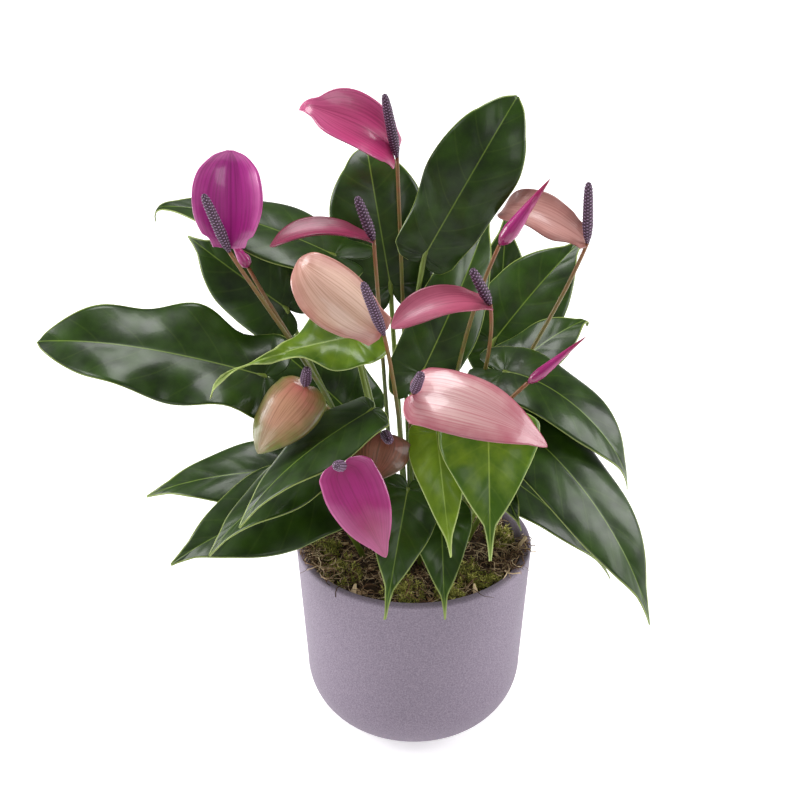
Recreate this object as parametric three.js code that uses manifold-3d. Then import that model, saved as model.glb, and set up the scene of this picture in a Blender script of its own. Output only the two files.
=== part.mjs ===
// A potted tulip anthurium: heart-shaped leaves on long petioles and waxy spathes with upright spadices,
// all rising from one crown in a moss-dressed ceramic cover pot.
// Millimetres, +Z up. The origin is the middle of the pot's foot, on the surface that it stands on.
// +X is to the right and -Y to the front.
import * as THREE from "three";
import { mergeVertices } from "three/addons/utils/BufferGeometryUtils.js";
import Module from "manifold-3d";

const wasm = await Module();
wasm.setup();

// ---------- Driving dimensions ----------

const FIT_GAP = 0.3; // air between pieces that touch
const WELD = 1e-4; // vertices this near each other are one

const POT = {
  height: 120,
  rimRadius: 70, // outside, at the rim
  taper: 0.067, // the wall leans in by this much for each mm down
  wall: 5.5,
  floor: 8,
  footRadius: 28, // the flat that it stands on
  cornerHeight: 39, // how high the rounded bottom corner reaches
  cornerSteps: 6,
  lipRound: 2.2,
  segments: 36,
};

const SOIL = { belowRim: 16, dome: 1.5, shoulderDome: 1.2, segments: 24, cornerSteps: 5 };
const SOIL_TOP = POT.height - SOIL.belowRim;
const MOSS = { depth: 5, edgeDepth: 3, dome: 4, shoulderDome: 3.2 };
const SHOULDER = 0.5; // where a dome's shoulder is, as a share of its radius

const STEM = {
  rootDepth: 12, // how deep the stems stand in the soil
  upright: 0.75, // 1 starts a stem straight up, 0 straight towards its leaf
  startReach: 0.4,
  endReach: 0.3,
  sides: 6,
  stretch: 26, // the least length of each straight stretch that a stem is faceted into
  mostStretches: 6,
};
const PETIOLE_RADIUS = 1.6;
const STALK_RADIUS = 1.5;
const STALK_SPACING = 2 * STALK_RADIUS + 1; // between the feet of stalks that rise side by side

const LEAF = {
  thickness: 1.0,
  outline: "full",
  lobe: 0.17, // how far the lobes reach back past the joint, as a share of the blade's length
  fold: 14,
  curl: 34,
  lobeLift: 12,
  rise: 14,
  fall: 22,
  tail: 0.06, // the share of the length in the drip tip
};
const SPATHE = { thickness: 0.9, lobe: 0.13, fold: 16, curl: -20, lobeLift: 25, rise: 10, fall: 15, tail: 0 };
const COLLAR = STALK_RADIUS + 1.3; // from a stalk's axis to the apex of the notch that straddles it
const SPADIX = {
  sides: 8,
  radius: 3,
  neckRadius: 1.1,
  // Each row is a share of the radius and a share of the length, from the neck up.
  swell: [[0.45, 0.14], [1, 0.34], [0.87, 0.75], [0.5, 0.96], [0, 1]],
};
const BUD = {
  sides: 8,
  under: 1, // how far its round end reaches back past the stalk's end
  neck: 0.5, // that end's flat, as a share of the radius
  swell: [[0.9, 0.08], [1, 0.2], [0.7, 0.45], [0.35, 0.75], [0, 1]],
};

// Half outlines from the notch at the joint, round the rounded lobe and out to the tip. Each row is
// [where its line leaves the midrib, where it meets the margin, how wide it is there]. The first two are
// shares of the blade's length, or of the lobe's where they are behind the joint, and the last is a share
// of its half width.
const LEAF_OUTLINES = {
  full: {
    shoulder: [-0.3, 0.12],
    rows: [
      [0.0, -1.0, 0.36],
      [0.015, -0.9, 0.66],
      [0.04, -0.4, 0.88],
      [0.1, 0.09, 0.97],
      [0.24, 0.31, 1.0],
      [0.42, 0.52, 0.87],
      [0.62, 0.72, 0.57],
      [0.8, 0.87, 0.26],
      [0.92, 0.95, 0.1],
      [0.998, 1.0, 0.022],
    ],
  },
  round: {
    shoulder: [-0.3, 0.12],
    rows: [
      [0.0, -1.0, 0.36],
      [0.015, -0.9, 0.66],
      [0.04, -0.4, 0.86],
      [0.1, 0.09, 0.93],
      [0.24, 0.31, 0.98],
      [0.42, 0.5, 1.0],
      [0.62, 0.69, 0.9],
      [0.8, 0.85, 0.64],
      [0.93, 0.955, 0.34],
      [0.998, 1.0, 0.04],
    ],
  },
  tapering: {
    shoulder: [-0.3, 0.12],
    rows: [
      [0.0, -1.0, 0.36],
      [0.015, -0.9, 0.7],
      [0.04, -0.4, 0.94],
      [0.1, 0.08, 1.0],
      [0.22, 0.28, 0.9],
      [0.4, 0.48, 0.68],
      [0.6, 0.7, 0.4],
      [0.78, 0.85, 0.18],
      [0.91, 0.94, 0.07],
      [0.998, 1.0, 0.022],
    ],
  },
};
const SPATHE_OUTLINE = {
  shoulder: [-0.2, 0.16],
  rows: [
    [0.0, -1.0, 0.42],
    [0.04, -0.7, 0.74],
    [0.12, 0.04, 0.93],
    [0.27, 0.3, 1.0],
    [0.45, 0.51, 0.95],
    [0.64, 0.71, 0.75],
    [0.82, 0.87, 0.43],
    [0.94, 0.965, 0.16],
    [0.998, 1.0, 0.03],
  ],
};

// ---------- Colours ----------

const finish = (color, roughness) => new THREE.MeshStandardMaterial({ color, roughness, metalness: 0 });
const LEAF_DARK = finish(0x24451c, 0.35);
const LEAF_YOUNG = finish(0x5f8f1e, 0.35);
const STALK_FINISH = finish(0x9a6a3a, 0.5);
const SPADIX_FINISH = finish(0x6b3a5c, 0.7);
const SPATHE_FINISH = {
  magenta: finish(0xb83a8a, 0.3),
  mauve: finish(0xa8506f, 0.35),
  peach: finish(0xe0b09a, 0.35),
  pink: finish(0xe29aa6, 0.3),
};
const POT_FINISH = finish(0xa79aac, 0.7);
const SOIL_FINISH = finish(0x3a2a1e, 1.0);
const MOSS_FINISH = finish(0x5c5a2c, 1.0);

// ---------- The plant ----------
// The crown is in the middle of the pot, and the plant's heights are above the soil's edge.
// A leaf: base is where its petiole leaves the crown, joint where the blade starts and tip where it ends.
// faces is the way its upper side looks. rise and fall are the midrib's angles to the line from joint to tip,
// fold is how far the halves stand up beside the midrib, and curl how far they bend down again to the margin.

const LEAVES = [
  { name: "leaf_left_broad", base: [-21, 2], bow: [6, 6], joint: [-85, -15, 136], tip: [-214, -2, 151],
    faces: [0, -0.5, 0.9], width: 62, lobe: 0.12 },
  { name: "leaf_left_upper", base: [-9, 14], joint: [-46, 30, 190], tip: [-157, 60, 206],
    faces: [0, -0.1, 1], width: 56 },
  { name: "leaf_left_rear", base: [-17, 10], joint: [-74, 32, 155], tip: [-132, 62, 187],
    faces: [-0.2, -0.9, 0.5], width: 48 },
  { name: "leaf_rear_upright", base: [-5, 22], joint: [-14, 56, 158], tip: [-28, 92, 231],
    faces: [0, -1, 0.5], width: 58, fall: 45, outline: "round" },
  { name: "leaf_top", base: [5, 18], bow: [-12, 0], joint: [6, 44, 183], tip: [58, 60, 275],
    faces: [0, -0.9, 0.5], width: 50, lobe: 0.1, fall: 35, outline: "round" },
  { name: "leaf_centre_tall", base: [4, 8], joint: [4, 4, 127], tip: [45, 98, 189],
    faces: [0.2, -0.9, 0.4], width: 42 },
  { name: "leaf_right_rear", base: [10, 25], joint: [51, 90, 97], tip: [57, 130, 172],
    faces: [0, -0.9, 0.4], width: 40 },
  { name: "leaf_right_upright", base: [15, 16], joint: [48, 65, 116], tip: [104, 110, 163],
    faces: [-0.2, -0.8, 0.7], width: 56 },
  { name: "leaf_right_curled", base: [18, 11], bow: [0, 6], joint: [56, 32, 114], tip: [107, 68, 130],
    faces: [0, -0.3, 1], width: 38, lobe: 0.1 },
  { name: "leaf_right_arching", base: [14, -2], joint: [51, -10, 136], tip: [122, -30, 70],
    faces: [0.6, -0.4, 0.7], width: 48, rise: 50, fall: 48 },
  { name: "leaf_right_drooping", base: [23, -5], joint: [62, -35, 112], tip: [134, -75, 7],
    faces: [0.5, -0.5, 0.6], width: 54, lobe: 0.07, rise: 30, fall: 28 },
  { name: "leaf_right_low", base: [26, 4], joint: [54, 5, 58], tip: [116, -22, 3],
    faces: [0.3, -0.2, 0.9], width: 50, outline: "tapering" },
  { name: "leaf_front_bright_left", base: [3, -19], bow: [0, 10], joint: [12, -47, 118],
    tip: [20, -78, 55], faces: [0, -0.8, 0.5], width: 34, lobe: 0.1, outline: "tapering", young: true },
  { name: "leaf_front_bright_right", base: [11, -15], joint: [40, -62, 131], tip: [41, -100, 67],
    faces: [0, -0.8, 0.5], width: 56, lobe: 0.1, outline: "tapering", young: true },
  { name: "leaf_front_hanging_left", base: [-4, -26], joint: [-4, -46, 80], tip: [-17, -84, 17],
    faces: [0, -0.8, 0.6], width: 44, lobe: 0.1, outline: "tapering" },
  { name: "leaf_front_hanging_right", base: [8, -26], joint: [15, -50, 65], tip: [17, -84, 17],
    faces: [0, -0.8, 0.6], width: 34, outline: "tapering" },
  { name: "leaf_left_front", base: [-10, -13], joint: [-24, -45, 131], tip: [-97, -82, 77],
    faces: [-0.4, 0, 0.9], width: 48 },
  { name: "leaf_left_under", base: [-18, -14], bow: [8, 0], joint: [-51, -33, 90], tip: [-116, -66, 48],
    faces: [-0.3, -0.1, 0.9], width: 46, lobe: 0.1 },
  { name: "leaf_left_low", base: [-25, -10], joint: [-53, -20, 62], tip: [-141, -42, 26],
    faces: [-0.1, -0.5, 0.9], width: 58, lobe: 0.12 },
  { name: "leaf_left_far_low", base: [-27, 4], joint: [-67, 15, 56], tip: [-160, 15, 37],
    faces: [-0.1, -0.4, 1], width: 46 },
  { name: "leaf_inner_dark", base: [-15, 16], joint: [-38, 38, 82], tip: [-97, 72, 119],
    faces: [0, -0.6, 0.8], width: 56 },
  { name: "leaf_young_long_tip", base: [-9, -7], bow: [0, 8], joint: [-34, -30, 169], tip: [-121, -55, 148],
    faces: [0, -0.4, 1], width: 34, tail: 0.4, young: true },
  { name: "leaf_right_inner", base: [22, 5], joint: [51, 22, 105], tip: [79, 6, 73],
    faces: [0.3, -0.5, 0.7], width: 30, lobe: 0.08 },
  { name: "leaf_front_small", base: [15, -22], joint: [44, -38, 87], tip: [60, -60, 61],
    faces: [0.2, -0.6, 0.7], width: 20, outline: "tapering" },
];

// A flower: joint is where its stalk, spathe and spadix meet, and spadix where the spadix ends.
const FLOWERS = [
  { name: "top", base: [-1, 14], bow: [-4, -6], joint: [-10, 60, 238], tip: [-60, 52, 270],
    spadix: [-17, 36, 286], faces: [-0.1, -0.55, 0.8], width: 36, rise: 35, fall: 35, colour: "magenta" },
  { name: "left", base: [-16, -2], bow: [9, 2], joint: [-102, -15, 214], tip: [-100, 2, 267],
    spadix: [-113, -34, 257], faces: [-0.1, -1, 0.3], width: 40, colour: "magenta" },
  { name: "left_arching", base: [-9, 3], bow: [-8, 0], joint: [-23, 2, 213], tip: [-80, -7, 213],
    spadix: [-32, -4, 242], faces: [0, 0, 1], width: 28, rise: 28, fall: 30, colour: "mauve" },
  { name: "peach", base: [-3, -9], joint: [-17, -50, 181], tip: [-59, -30, 219], spadix: [-28, -71, 223],
    faces: [-0.3, -1, 0.4], width: 40, colour: "peach" },
  { name: "centre_arching", base: [8, -6], joint: [42, -12, 180], tip: [-13, -37, 178],
    spadix: [31, -18, 205], faces: [0, -0.3, 1], width: 28, rise: 32, fall: 35, colour: "mauve" },
  { name: "right_rear", base: [19, -3], bow: [-12, -6], joint: [97, 15, 205], tip: [50, 48, 209],
    spadix: [95, 2, 248], faces: [0, -0.6, 0.8], width: 28, rise: 45, fall: 65, colour: "peach" },
  { name: "left_low", base: [-14, -9], bow: [20, 6], joint: [-61, -36, 142], tip: [-87, -57, 110],
    spadix: [-59, -52, 161], faces: [-0.4, -0.6, 0.6], width: 38, curl: 30, colour: "peach" },
  { name: "front_pink", base: [0, -9 - STALK_SPACING], bow: [0, 25], joint: [-1, -75, 159], tip: [71, -85, 131],
    spadix: [3, -92, 180], faces: [0.2, -0.55, 0.85], width: 40, lobe: 0.08, curl: 40, rise: 25, fall: 25,
    colour: "pink" },
  { name: "inner_brown", base: [-5, -20], bow: [0, 10], joint: [-17, -46, 117], tip: [-24, -60, 94],
    spadix: [-14, -64, 122], faces: [-0.1, -0.9, 0.5], width: 26, curl: 20, colour: "peach" },
  { name: "front_magenta", base: [-12, -22], bow: [-6, 0], joint: [-39, -92, 123], tip: [-16, -102, 71],
    spadix: [-42, -118, 139], faces: [0, -1, 0.4], width: 36, curl: 20, colour: "magenta" },
];

// A bud is a spathe still rolled round its spadix, on its stalk: it grew as one piece.
const BUDS = [
  { name: "bud_left", base: [-14, 5], bow: [0, 5], joint: [-94, 14, 190], tip: [-104, 16, 209], radius: 3.6 },
  { name: "bud_right", base: [12, 3], joint: [47, 5, 208], tip: [75, 12, 246], radius: 4.6 },
  { name: "bud_far_right", base: [18, -12], bow: [-16, -4], joint: [62, -45, 148], tip: [94, -42, 176],
    radius: 3.8 },
];

// ---------- Solids ----------

// A geometry as a manifold solid, with its shared vertices merged.
function solidOf(geometry) {
  const bare = geometry.index ? geometry.toNonIndexed() : geometry.clone();
  bare.deleteAttribute("normal");
  bare.deleteAttribute("uv");
  const merged = mergeVertices(bare, WELD);
  return new wasm.Manifold(new wasm.Mesh({
    numProp: 3,
    vertProperties: merged.attributes.position.array,
    triVerts: new Uint32Array(merged.index.array),
  }));
}

// A manifold solid as a three.js geometry.
function geometryOf(solid) {
  const { numProp, vertProperties, triVerts } = solid.getMesh();
  const positions = [];
  for (let i = 0; i < vertProperties.length; i += numProp) {
    positions.push(...vertProperties.subarray(i, i + 3));
  }
  const geometry = new THREE.BufferGeometry();
  geometry.setAttribute("position", new THREE.Float32BufferAttribute(positions, 3));
  geometry.setIndex([...triVerts]);
  return geometry;
}

// A closed sheet from rows of { point, normal }, half its thickness to each side of them.
function sheetGeometry(rows, thickness) {
  const across = rows[0].length;
  const layer = rows.length * across;
  const positions = [1, -1].flatMap((side) =>
    rows.flat().flatMap(({ point, normal }) =>
      point.clone().addScaledVector(normal, (side * thickness) / 2).toArray()));
  const index = [];
  const quad = (a, b, c, d) => index.push(a, b, c, a, c, d);
  const at = (i, j) => i * across + j;
  for (let i = 0; i + 1 < rows.length; i++) {
    for (let j = 0; j + 1 < across; j++) {
      quad(at(i, j), at(i + 1, j), at(i + 1, j + 1), at(i, j + 1));
      quad(layer + at(i, j), layer + at(i, j + 1), layer + at(i + 1, j + 1), layer + at(i + 1, j));
    }
  }
  const edge = (a, b) => quad(a, b, layer + b, layer + a);
  const last = rows.length - 1;
  for (let i = 0; i < last; i++) {
    edge(at(i + 1, 0), at(i, 0));
    edge(at(i, across - 1), at(i + 1, across - 1));
  }
  for (let j = 0; j + 1 < across; j++) {
    edge(at(0, j), at(0, j + 1));
    edge(at(last, j + 1), at(last, j));
  }
  const geometry = new THREE.BufferGeometry();
  geometry.setAttribute("position", new THREE.Float32BufferAttribute(positions, 3));
  geometry.setIndex(index);
  return geometry;
}

// A round bar of one radius along a curve, in so many straight stretches.
function barGeometry(curve, radius, steps) {
  const section = new THREE.Shape();
  for (let i = 0; i < STEM.sides; i++) {
    const angle = (i / STEM.sides) * 2 * Math.PI;
    const corner = [radius * Math.cos(angle), radius * Math.sin(angle)];
    i ? section.lineTo(...corner) : section.moveTo(...corner);
  }
  section.closePath();
  return new THREE.ExtrudeGeometry(section, { steps, extrudePath: curve });
}

// ---------- Blades: the leaves' and the spathes' one shape ----------

const vector = (xyz) => new THREE.Vector3(...xyz);
const aboveSoil = ([x, y, z]) => new THREE.Vector3(x, y, SOIL_TOP + z);
const radians = THREE.MathUtils.degToRad;

// How a blade lies: its midrib, and (x, y) => { point, normal } for x mm along it and y mm to its side.
function bladePosture({ joint, tip, faces, width, rise, fall, fold, curl, lobeLift }) {
  const chord = tip.clone().sub(joint);
  const reach = chord.length() / 3;
  chord.normalize();
  const up = faces.clone().addScaledVector(chord, -faces.dot(chord)).normalize();
  const side = up.clone().cross(chord);
  const heading = (angle) =>
    chord.clone().multiplyScalar(Math.cos(angle)).addScaledVector(up, Math.sin(angle));
  const midrib = new THREE.CubicBezierCurve3(
    joint,
    joint.clone().addScaledVector(heading(radians(rise)), reach),
    tip.clone().addScaledVector(heading(-radians(fall)), -reach),
    tip,
  );
  const length = midrib.getLength();
  const bend = radians(curl) / (width / 2);
  const surface = (x, y) => {
    const share = THREE.MathUtils.clamp(x / length, 0, 1);
    const tangent = midrib.getTangentAt(share);
    const normal = tangent.clone().cross(side);
    const point = midrib.getPointAt(share);
    if (x < 0) {
      // The lobes lift as they reach back past the joint.
      const lift = radians(lobeLift);
      point.addScaledVector(tangent, x * Math.cos(lift)).addScaledVector(normal, -x * Math.sin(lift));
      normal.multiplyScalar(Math.cos(lift)).addScaledVector(tangent, Math.sin(lift)).normalize();
    }
    const start = radians(fold);
    const turned = start - bend * Math.abs(y);
    const out = bend ? (Math.sin(start) - Math.sin(turned)) / bend : Math.abs(y) * Math.cos(start);
    const high = bend ? (Math.cos(turned) - Math.cos(start)) / bend : Math.abs(y) * Math.sin(start);
    point.addScaledVector(side, Math.sign(y) * out).addScaledVector(normal, high);
    normal.multiplyScalar(Math.cos(turned)).addScaledVector(side, -Math.sign(y) * Math.sin(turned));
    return { point, normal };
  };
  return { midrib, length, surface };
}

// A blade's closed sheet, with the outline laid on its posture.
function bladeGeometry(blade, outline) {
  const { length, surface } = bladePosture(blade);
  const half = blade.width / 2;
  const lobe = blade.lobe * length;
  const tailStart = 0.9;
  const stretched = (x) => x < tailStart
    ? (x * (tailStart - blade.tail)) / tailStart
    : THREE.MathUtils.mapLinear(x, tailStart, 1, tailStart - blade.tail, 1);
  const along = (x) => (x < 0 ? x * lobe : stretched(x) * length);
  const rows = outline.rows.map(([start, end, wide], i) => {
    const from = along(start);
    const to = along(end);
    const [shoulderStart, shoulderWide] = outline.shoulder;
    const between = i
      ? [(from + to) / 2, (wide * half) / 2]
      : [along(shoulderStart), shoulderWide * half];
    const margin = [to, wide * half];
    const line = [[margin[0], -margin[1]], [between[0], -between[1]], [from, 0], between, margin];
    return line.map(([x, y]) => surface(x, y));
  });
  return sheetGeometry(rows, blade.thickness);
}

// ---------- Stems ----------

const rootedStretches = [];

// A stem from the crown to a joint. It starts nearly upright, a bow carries it aside on its way, and it
// turns towards the heading at its end. Its first stretch is kept, for its socket.
function stemGeometry({ base, bow = [0, 0] }, radius, end, heading) {
  const foot = aboveSoil([...base, -STEM.rootDepth]);
  const towards = end.clone().sub(foot);
  const reach = towards.length();
  towards.normalize();
  const start = new THREE.Vector3(0, 0, STEM.upright).addScaledVector(towards, 1 - STEM.upright).normalize();
  const aside = new THREE.Vector3(bow[0], bow[1], 0);
  const arrival = heading ? towards.clone().add(heading).normalize() : towards;
  const curve = new THREE.CubicBezierCurve3(
    foot,
    foot.clone().addScaledVector(start, reach * STEM.startReach).addScaledVector(aside, 0.5),
    end.clone().addScaledVector(arrival, -reach * STEM.endReach).add(aside),
    end,
  );
  const steps = Math.min(Math.floor(curve.getLength() / STEM.stretch), STEM.mostStretches);
  rootedStretches.push({ foot, top: curve.getPointAt(1 / steps), radius });
  return barGeometry(curve, radius, steps);
}

const group = new THREE.Group();
function add(name, geometry, material) {
  const mesh = new THREE.Mesh(geometry, material);
  mesh.name = name;
  group.add(mesh);
}

function addLeaf(leaf) {
  const blade = {
    ...LEAF,
    ...leaf,
    joint: aboveSoil(leaf.joint),
    tip: aboveSoil(leaf.tip),
    faces: vector(leaf.faces),
  };
  const sheet = solidOf(bladeGeometry(blade, LEAF_OUTLINES[blade.outline]));
  const petiole = solidOf(stemGeometry(leaf, PETIOLE_RADIUS, blade.joint));
  add(leaf.name, geometryOf(sheet.add(petiole)), leaf.young ? LEAF_YOUNG : LEAF_DARK);
}

// A spadix stands on its stalk's end, with a neck that swells to full girth.
function spadixGeometry(length) {
  const { radius, neckRadius, sides, swell } = SPADIX;
  const body = swell.map(([r, h]) => [r * radius, h * length]);
  const profile = [[0, 0], [neckRadius, 0], ...body].map(([r, h]) => new THREE.Vector2(r, h));
  return new THREE.LatheGeometry(profile, sides);
}

function addFlower(flower) {
  const joint = aboveSoil(flower.joint);
  const tip = aboveSoil(flower.tip);
  const faces = vector(flower.faces);
  const spadixAxis = aboveSoil(flower.spadix).sub(joint);
  const spadixLength = spadixAxis.length();
  spadixAxis.normalize();

  const forward = tip.clone().sub(joint).normalize();
  const blade = { ...SPATHE, ...flower, joint: joint.clone().addScaledVector(forward, COLLAR), tip, faces };
  add(`spathe_${flower.name}`, bladeGeometry(blade, SPATHE_OUTLINE), SPATHE_FINISH[flower.colour]);

  const stalkEnd = joint.clone().addScaledVector(spadixAxis, -FIT_GAP);
  add(`stalk_${flower.name}`, stemGeometry(flower, STALK_RADIUS, stalkEnd, spadixAxis), STALK_FINISH);

  const spadix = spadixGeometry(spadixLength - FIT_GAP);
  spadix.applyQuaternion(new THREE.Quaternion().setFromUnitVectors(new THREE.Vector3(0, 1, 0), spadixAxis));
  spadix.translate(...joint.clone().addScaledVector(spadixAxis, FIT_GAP).toArray());
  add(`spadix_${flower.name}`, spadix, SPADIX_FINISH);
}

function addBud(bud) {
  const { radius } = bud;
  const { sides, under, neck, swell } = BUD;
  const from = aboveSoil(bud.joint);
  const axis = aboveSoil(bud.tip).sub(from);
  const length = axis.length();
  axis.normalize();
  const stalk = stemGeometry(bud, STALK_RADIUS, from, axis);
  const body = swell.map(([r, h]) => [r * radius, h * length]);
  const profile = [[0, -under], [neck * radius, -under], ...body].map(([r, h]) => new THREE.Vector2(r, h));
  const rolled = new THREE.LatheGeometry(profile, sides);
  rolled.applyQuaternion(new THREE.Quaternion().setFromUnitVectors(new THREE.Vector3(0, 1, 0), axis));
  rolled.translate(...from.toArray());
  add(bud.name, geometryOf(solidOf(rolled).add(solidOf(stalk))), SPATHE_FINISH.magenta);
}

// ---------- The pot and what fills it ----------

const outerRadius = (z) => POT.rimRadius - (POT.height - z) * POT.taper;
const innerRadius = (z) => outerRadius(z) - POT.wall;

// A quarter of an ellipse in a lathe profile, from angle 0 at its side to 90 degrees at its foot.
function cornerPoints(centreRadius, centreHeight, across, down, steps) {
  return Array.from({ length: steps + 1 }, (_, i) => {
    const angle = (i / steps) * (Math.PI / 2);
    return [centreRadius + across * Math.cos(angle), centreHeight - down * Math.sin(angle)];
  });
}

function latheSolid(profile, segments) {
  // A lathe turned about +Y is stood up on +Z. Its profile runs up the outside, so its faces point out.
  const points = profile.map(([r, h]) => new THREE.Vector2(Math.max(r, 0), h));
  return new THREE.LatheGeometry(points, segments).rotateX(Math.PI / 2);
}

function potGeometry() {
  const { height, footRadius, cornerHeight, cornerSteps, floor, lipRound, segments } = POT;
  const across = outerRadius(cornerHeight) - footRadius;
  const outside = cornerPoints(footRadius, cornerHeight, across, cornerHeight, cornerSteps).reverse();
  const acrossInside = innerRadius(cornerHeight) - footRadius;
  const inside = cornerPoints(footRadius, cornerHeight, acrossInside, cornerHeight - floor, cornerSteps);
  const round = lipRound * (1 - Math.SQRT1_2); // how far the round cuts the lip's edge back at 45 degrees
  const rim = [
    [outerRadius(height - lipRound), height - lipRound],
    [outerRadius(height) - round, height - round],
    [outerRadius(height) - lipRound, height],
    [innerRadius(height) + lipRound, height],
    [innerRadius(height), height - lipRound],
  ];
  return latheSolid([[0, 0], ...outside, ...rim, ...inside, [0, floor]], segments);
}

// Fills the pot up to the soil's edge, with a dome in the middle.
function soilGeometry() {
  const { dome, shoulderDome, segments, cornerSteps } = SOIL;
  const { footRadius, cornerHeight, floor } = POT;
  const bottom = floor + FIT_GAP;
  const across = innerRadius(cornerHeight) - FIT_GAP - footRadius;
  const corner = cornerPoints(footRadius, cornerHeight, across, cornerHeight - bottom, cornerSteps).reverse();
  const clearance = 3 * FIT_GAP; // the faceted walls stand closer than their radii
  const inset = ([r, h]) => [Math.max(r - clearance, 0), h + clearance];
  const edge = innerRadius(SOIL_TOP) - 2 * FIT_GAP - clearance;
  return latheSolid([
    [0, bottom + clearance],
    ...corner.map(inset),
    [edge, SOIL_TOP],
    [edge * SHOULDER, SOIL_TOP + shoulderDome],
    [0, SOIL_TOP + dome],
  ], segments);
}

// Lies on the soil, deeper in the middle.
function mossGeometry() {
  const { dome, shoulderDome, segments } = SOIL;
  const edge = innerRadius(SOIL_TOP) - 4 * FIT_GAP;
  const top = SOIL_TOP + MOSS.depth;
  return latheSolid([
    [0, SOIL_TOP + dome + FIT_GAP],
    [edge * SHOULDER, SOIL_TOP + shoulderDome + FIT_GAP],
    [edge, SOIL_TOP + FIT_GAP],
    [edge, SOIL_TOP + MOSS.edgeDepth],
    [edge - MOSS.depth, top],
    [edge * SHOULDER, top + MOSS.shoulderDome],
    [0, top + MOSS.dome],
  ], segments);
}

// Cuts a socket for each stem's rooted stretch, a fit gap wider than the stem and as much deeper.
function withSockets(geometry) {
  let solid = solidOf(geometry);
  for (const { foot, top, radius } of rootedStretches) {
    const down = foot.clone().sub(top).normalize();
    const socket = new THREE.LineCurve3(foot.clone().addScaledVector(down, FIT_GAP), top);
    const across = (radius + FIT_GAP) / Math.cos(Math.PI / STEM.sides);
    solid = solid.subtract(solidOf(barGeometry(socket, across, 1)));
  }
  return geometryOf(solid);
}

LEAVES.forEach(addLeaf);
FLOWERS.forEach(addFlower);
BUDS.forEach(addBud);
add("pot", potGeometry(), POT_FINISH);
add("soil", withSockets(soilGeometry()), SOIL_FINISH);
add("moss", withSockets(mossGeometry()), MOSS_FINISH);

export default group;
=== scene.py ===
# A potted tulip anthurium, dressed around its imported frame: glossy heart-shaped leaves, waxy spathes with
# upright spadices, rolled buds, and a speckled stoneware cover pot filled with potting soil and moss.
import sys

import logging
import math
from collections.abc import Callable
from dataclasses import dataclass, replace
from enum import Enum

import bpy
import numpy as np
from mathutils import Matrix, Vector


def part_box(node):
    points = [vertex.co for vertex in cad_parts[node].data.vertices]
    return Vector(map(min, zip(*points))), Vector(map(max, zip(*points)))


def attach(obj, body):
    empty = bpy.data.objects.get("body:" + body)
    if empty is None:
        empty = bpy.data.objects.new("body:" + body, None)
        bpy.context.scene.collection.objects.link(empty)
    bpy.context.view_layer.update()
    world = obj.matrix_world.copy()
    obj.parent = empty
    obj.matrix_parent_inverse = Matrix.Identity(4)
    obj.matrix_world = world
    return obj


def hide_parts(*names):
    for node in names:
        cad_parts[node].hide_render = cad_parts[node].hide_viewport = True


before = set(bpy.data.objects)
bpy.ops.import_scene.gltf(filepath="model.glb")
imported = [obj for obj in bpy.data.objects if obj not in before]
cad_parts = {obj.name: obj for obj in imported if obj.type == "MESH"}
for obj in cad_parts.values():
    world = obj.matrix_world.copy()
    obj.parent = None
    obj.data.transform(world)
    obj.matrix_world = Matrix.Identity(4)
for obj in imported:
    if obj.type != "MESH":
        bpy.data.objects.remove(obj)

log = logging.getLogger("potted_anthurium")

# ---------- Sizes shared by the pieces, in the design's millimetres ----------

POT_HEIGHT = 120
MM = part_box("pot")[1].z / POT_HEIGHT  # metres in one design millimetre
SOIL_TOP = 104
ROOT_DEPTH = 12  # how deep the stems stand in the soil
COLLAR = 2.8  # from a stalk's axis to the notch of the spathe that straddles it
STALK_RADIUS = 1.2
TURN = 2 * math.pi
ENDING = "_fine"

Triple = tuple[float, float, float]
Pair = tuple[float, float]
Array = np.ndarray
Piece = bpy.types.Object
Material = bpy.types.Material
Scrap = tuple[Array, list[tuple[int, ...]]]  # a small shape's vertices and faces


# ---------- Small mathematics ----------


def unit(vectors: Array) -> Array:
    """Scales one vector, or one per row, to length one."""
    return vectors / np.linalg.norm(vectors, axis=-1, keepdims=True)


def bezier(control: list[Array], shares: Array) -> Array:
    """Finds points on a cubic Bezier curve.

    Args:
        control: the four control points.
        shares: where the points are, from 0 to 1.

    Returns:
        One point per share.
    """
    t = shares[:, None]
    a, b, c, d = control
    return (1 - t) ** 3 * a + 3 * (1 - t) ** 2 * t * b + 3 * (1 - t) * t**2 * c + t**3 * d


def ease(shares: Array) -> Array:
    """Turns a straight run from 0 to 1 into one that starts and ends gently, and is level outside."""
    held = np.clip(shares, 0, 1)
    return held * held * (3 - 2 * held)


def through(values: list[float], shares: Array) -> Array:
    """Runs a smooth curve through evenly spaced values.

    Args:
        values: what the curve passes through.
        shares: where to read it, from 0 at the first value to 1 at the last.

    Returns:
        The curve's value at each share.
    """
    known = np.asarray(values, float)
    slopes = np.gradient(known)
    place = np.clip(shares, 0, 1) * (len(known) - 1)
    low = np.minimum(place.astype(int), len(known) - 2)
    t = place - low
    return (
        (2 * t**3 - 3 * t**2 + 1) * known[low]
        + (t**3 - 2 * t**2 + t) * slopes[low]
        + (3 * t**2 - 2 * t**3) * known[low + 1]
        + (t**3 - t**2) * slopes[low + 1]
    )


def between(known: Array, points: Array, places: Array) -> Array:
    """Reads rows of x, y and z at places between those where they are known."""
    return np.stack([np.interp(places, known, points[:, k]) for k in range(3)], axis=1)


def along_path(path: Array, shares: Array) -> Array:
    """Finds points at shares of a path's length.

    Args:
        path: the path's points.
        shares: where to read it, from 0 to 1 of its length.

    Returns:
        One point per share.
    """
    arc = np.concatenate([[0], np.cumsum(np.linalg.norm(np.diff(path, axis=0), axis=1))])
    return between(arc, path, shares * arc[-1])


# ---------- Mesh work ----------


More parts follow.
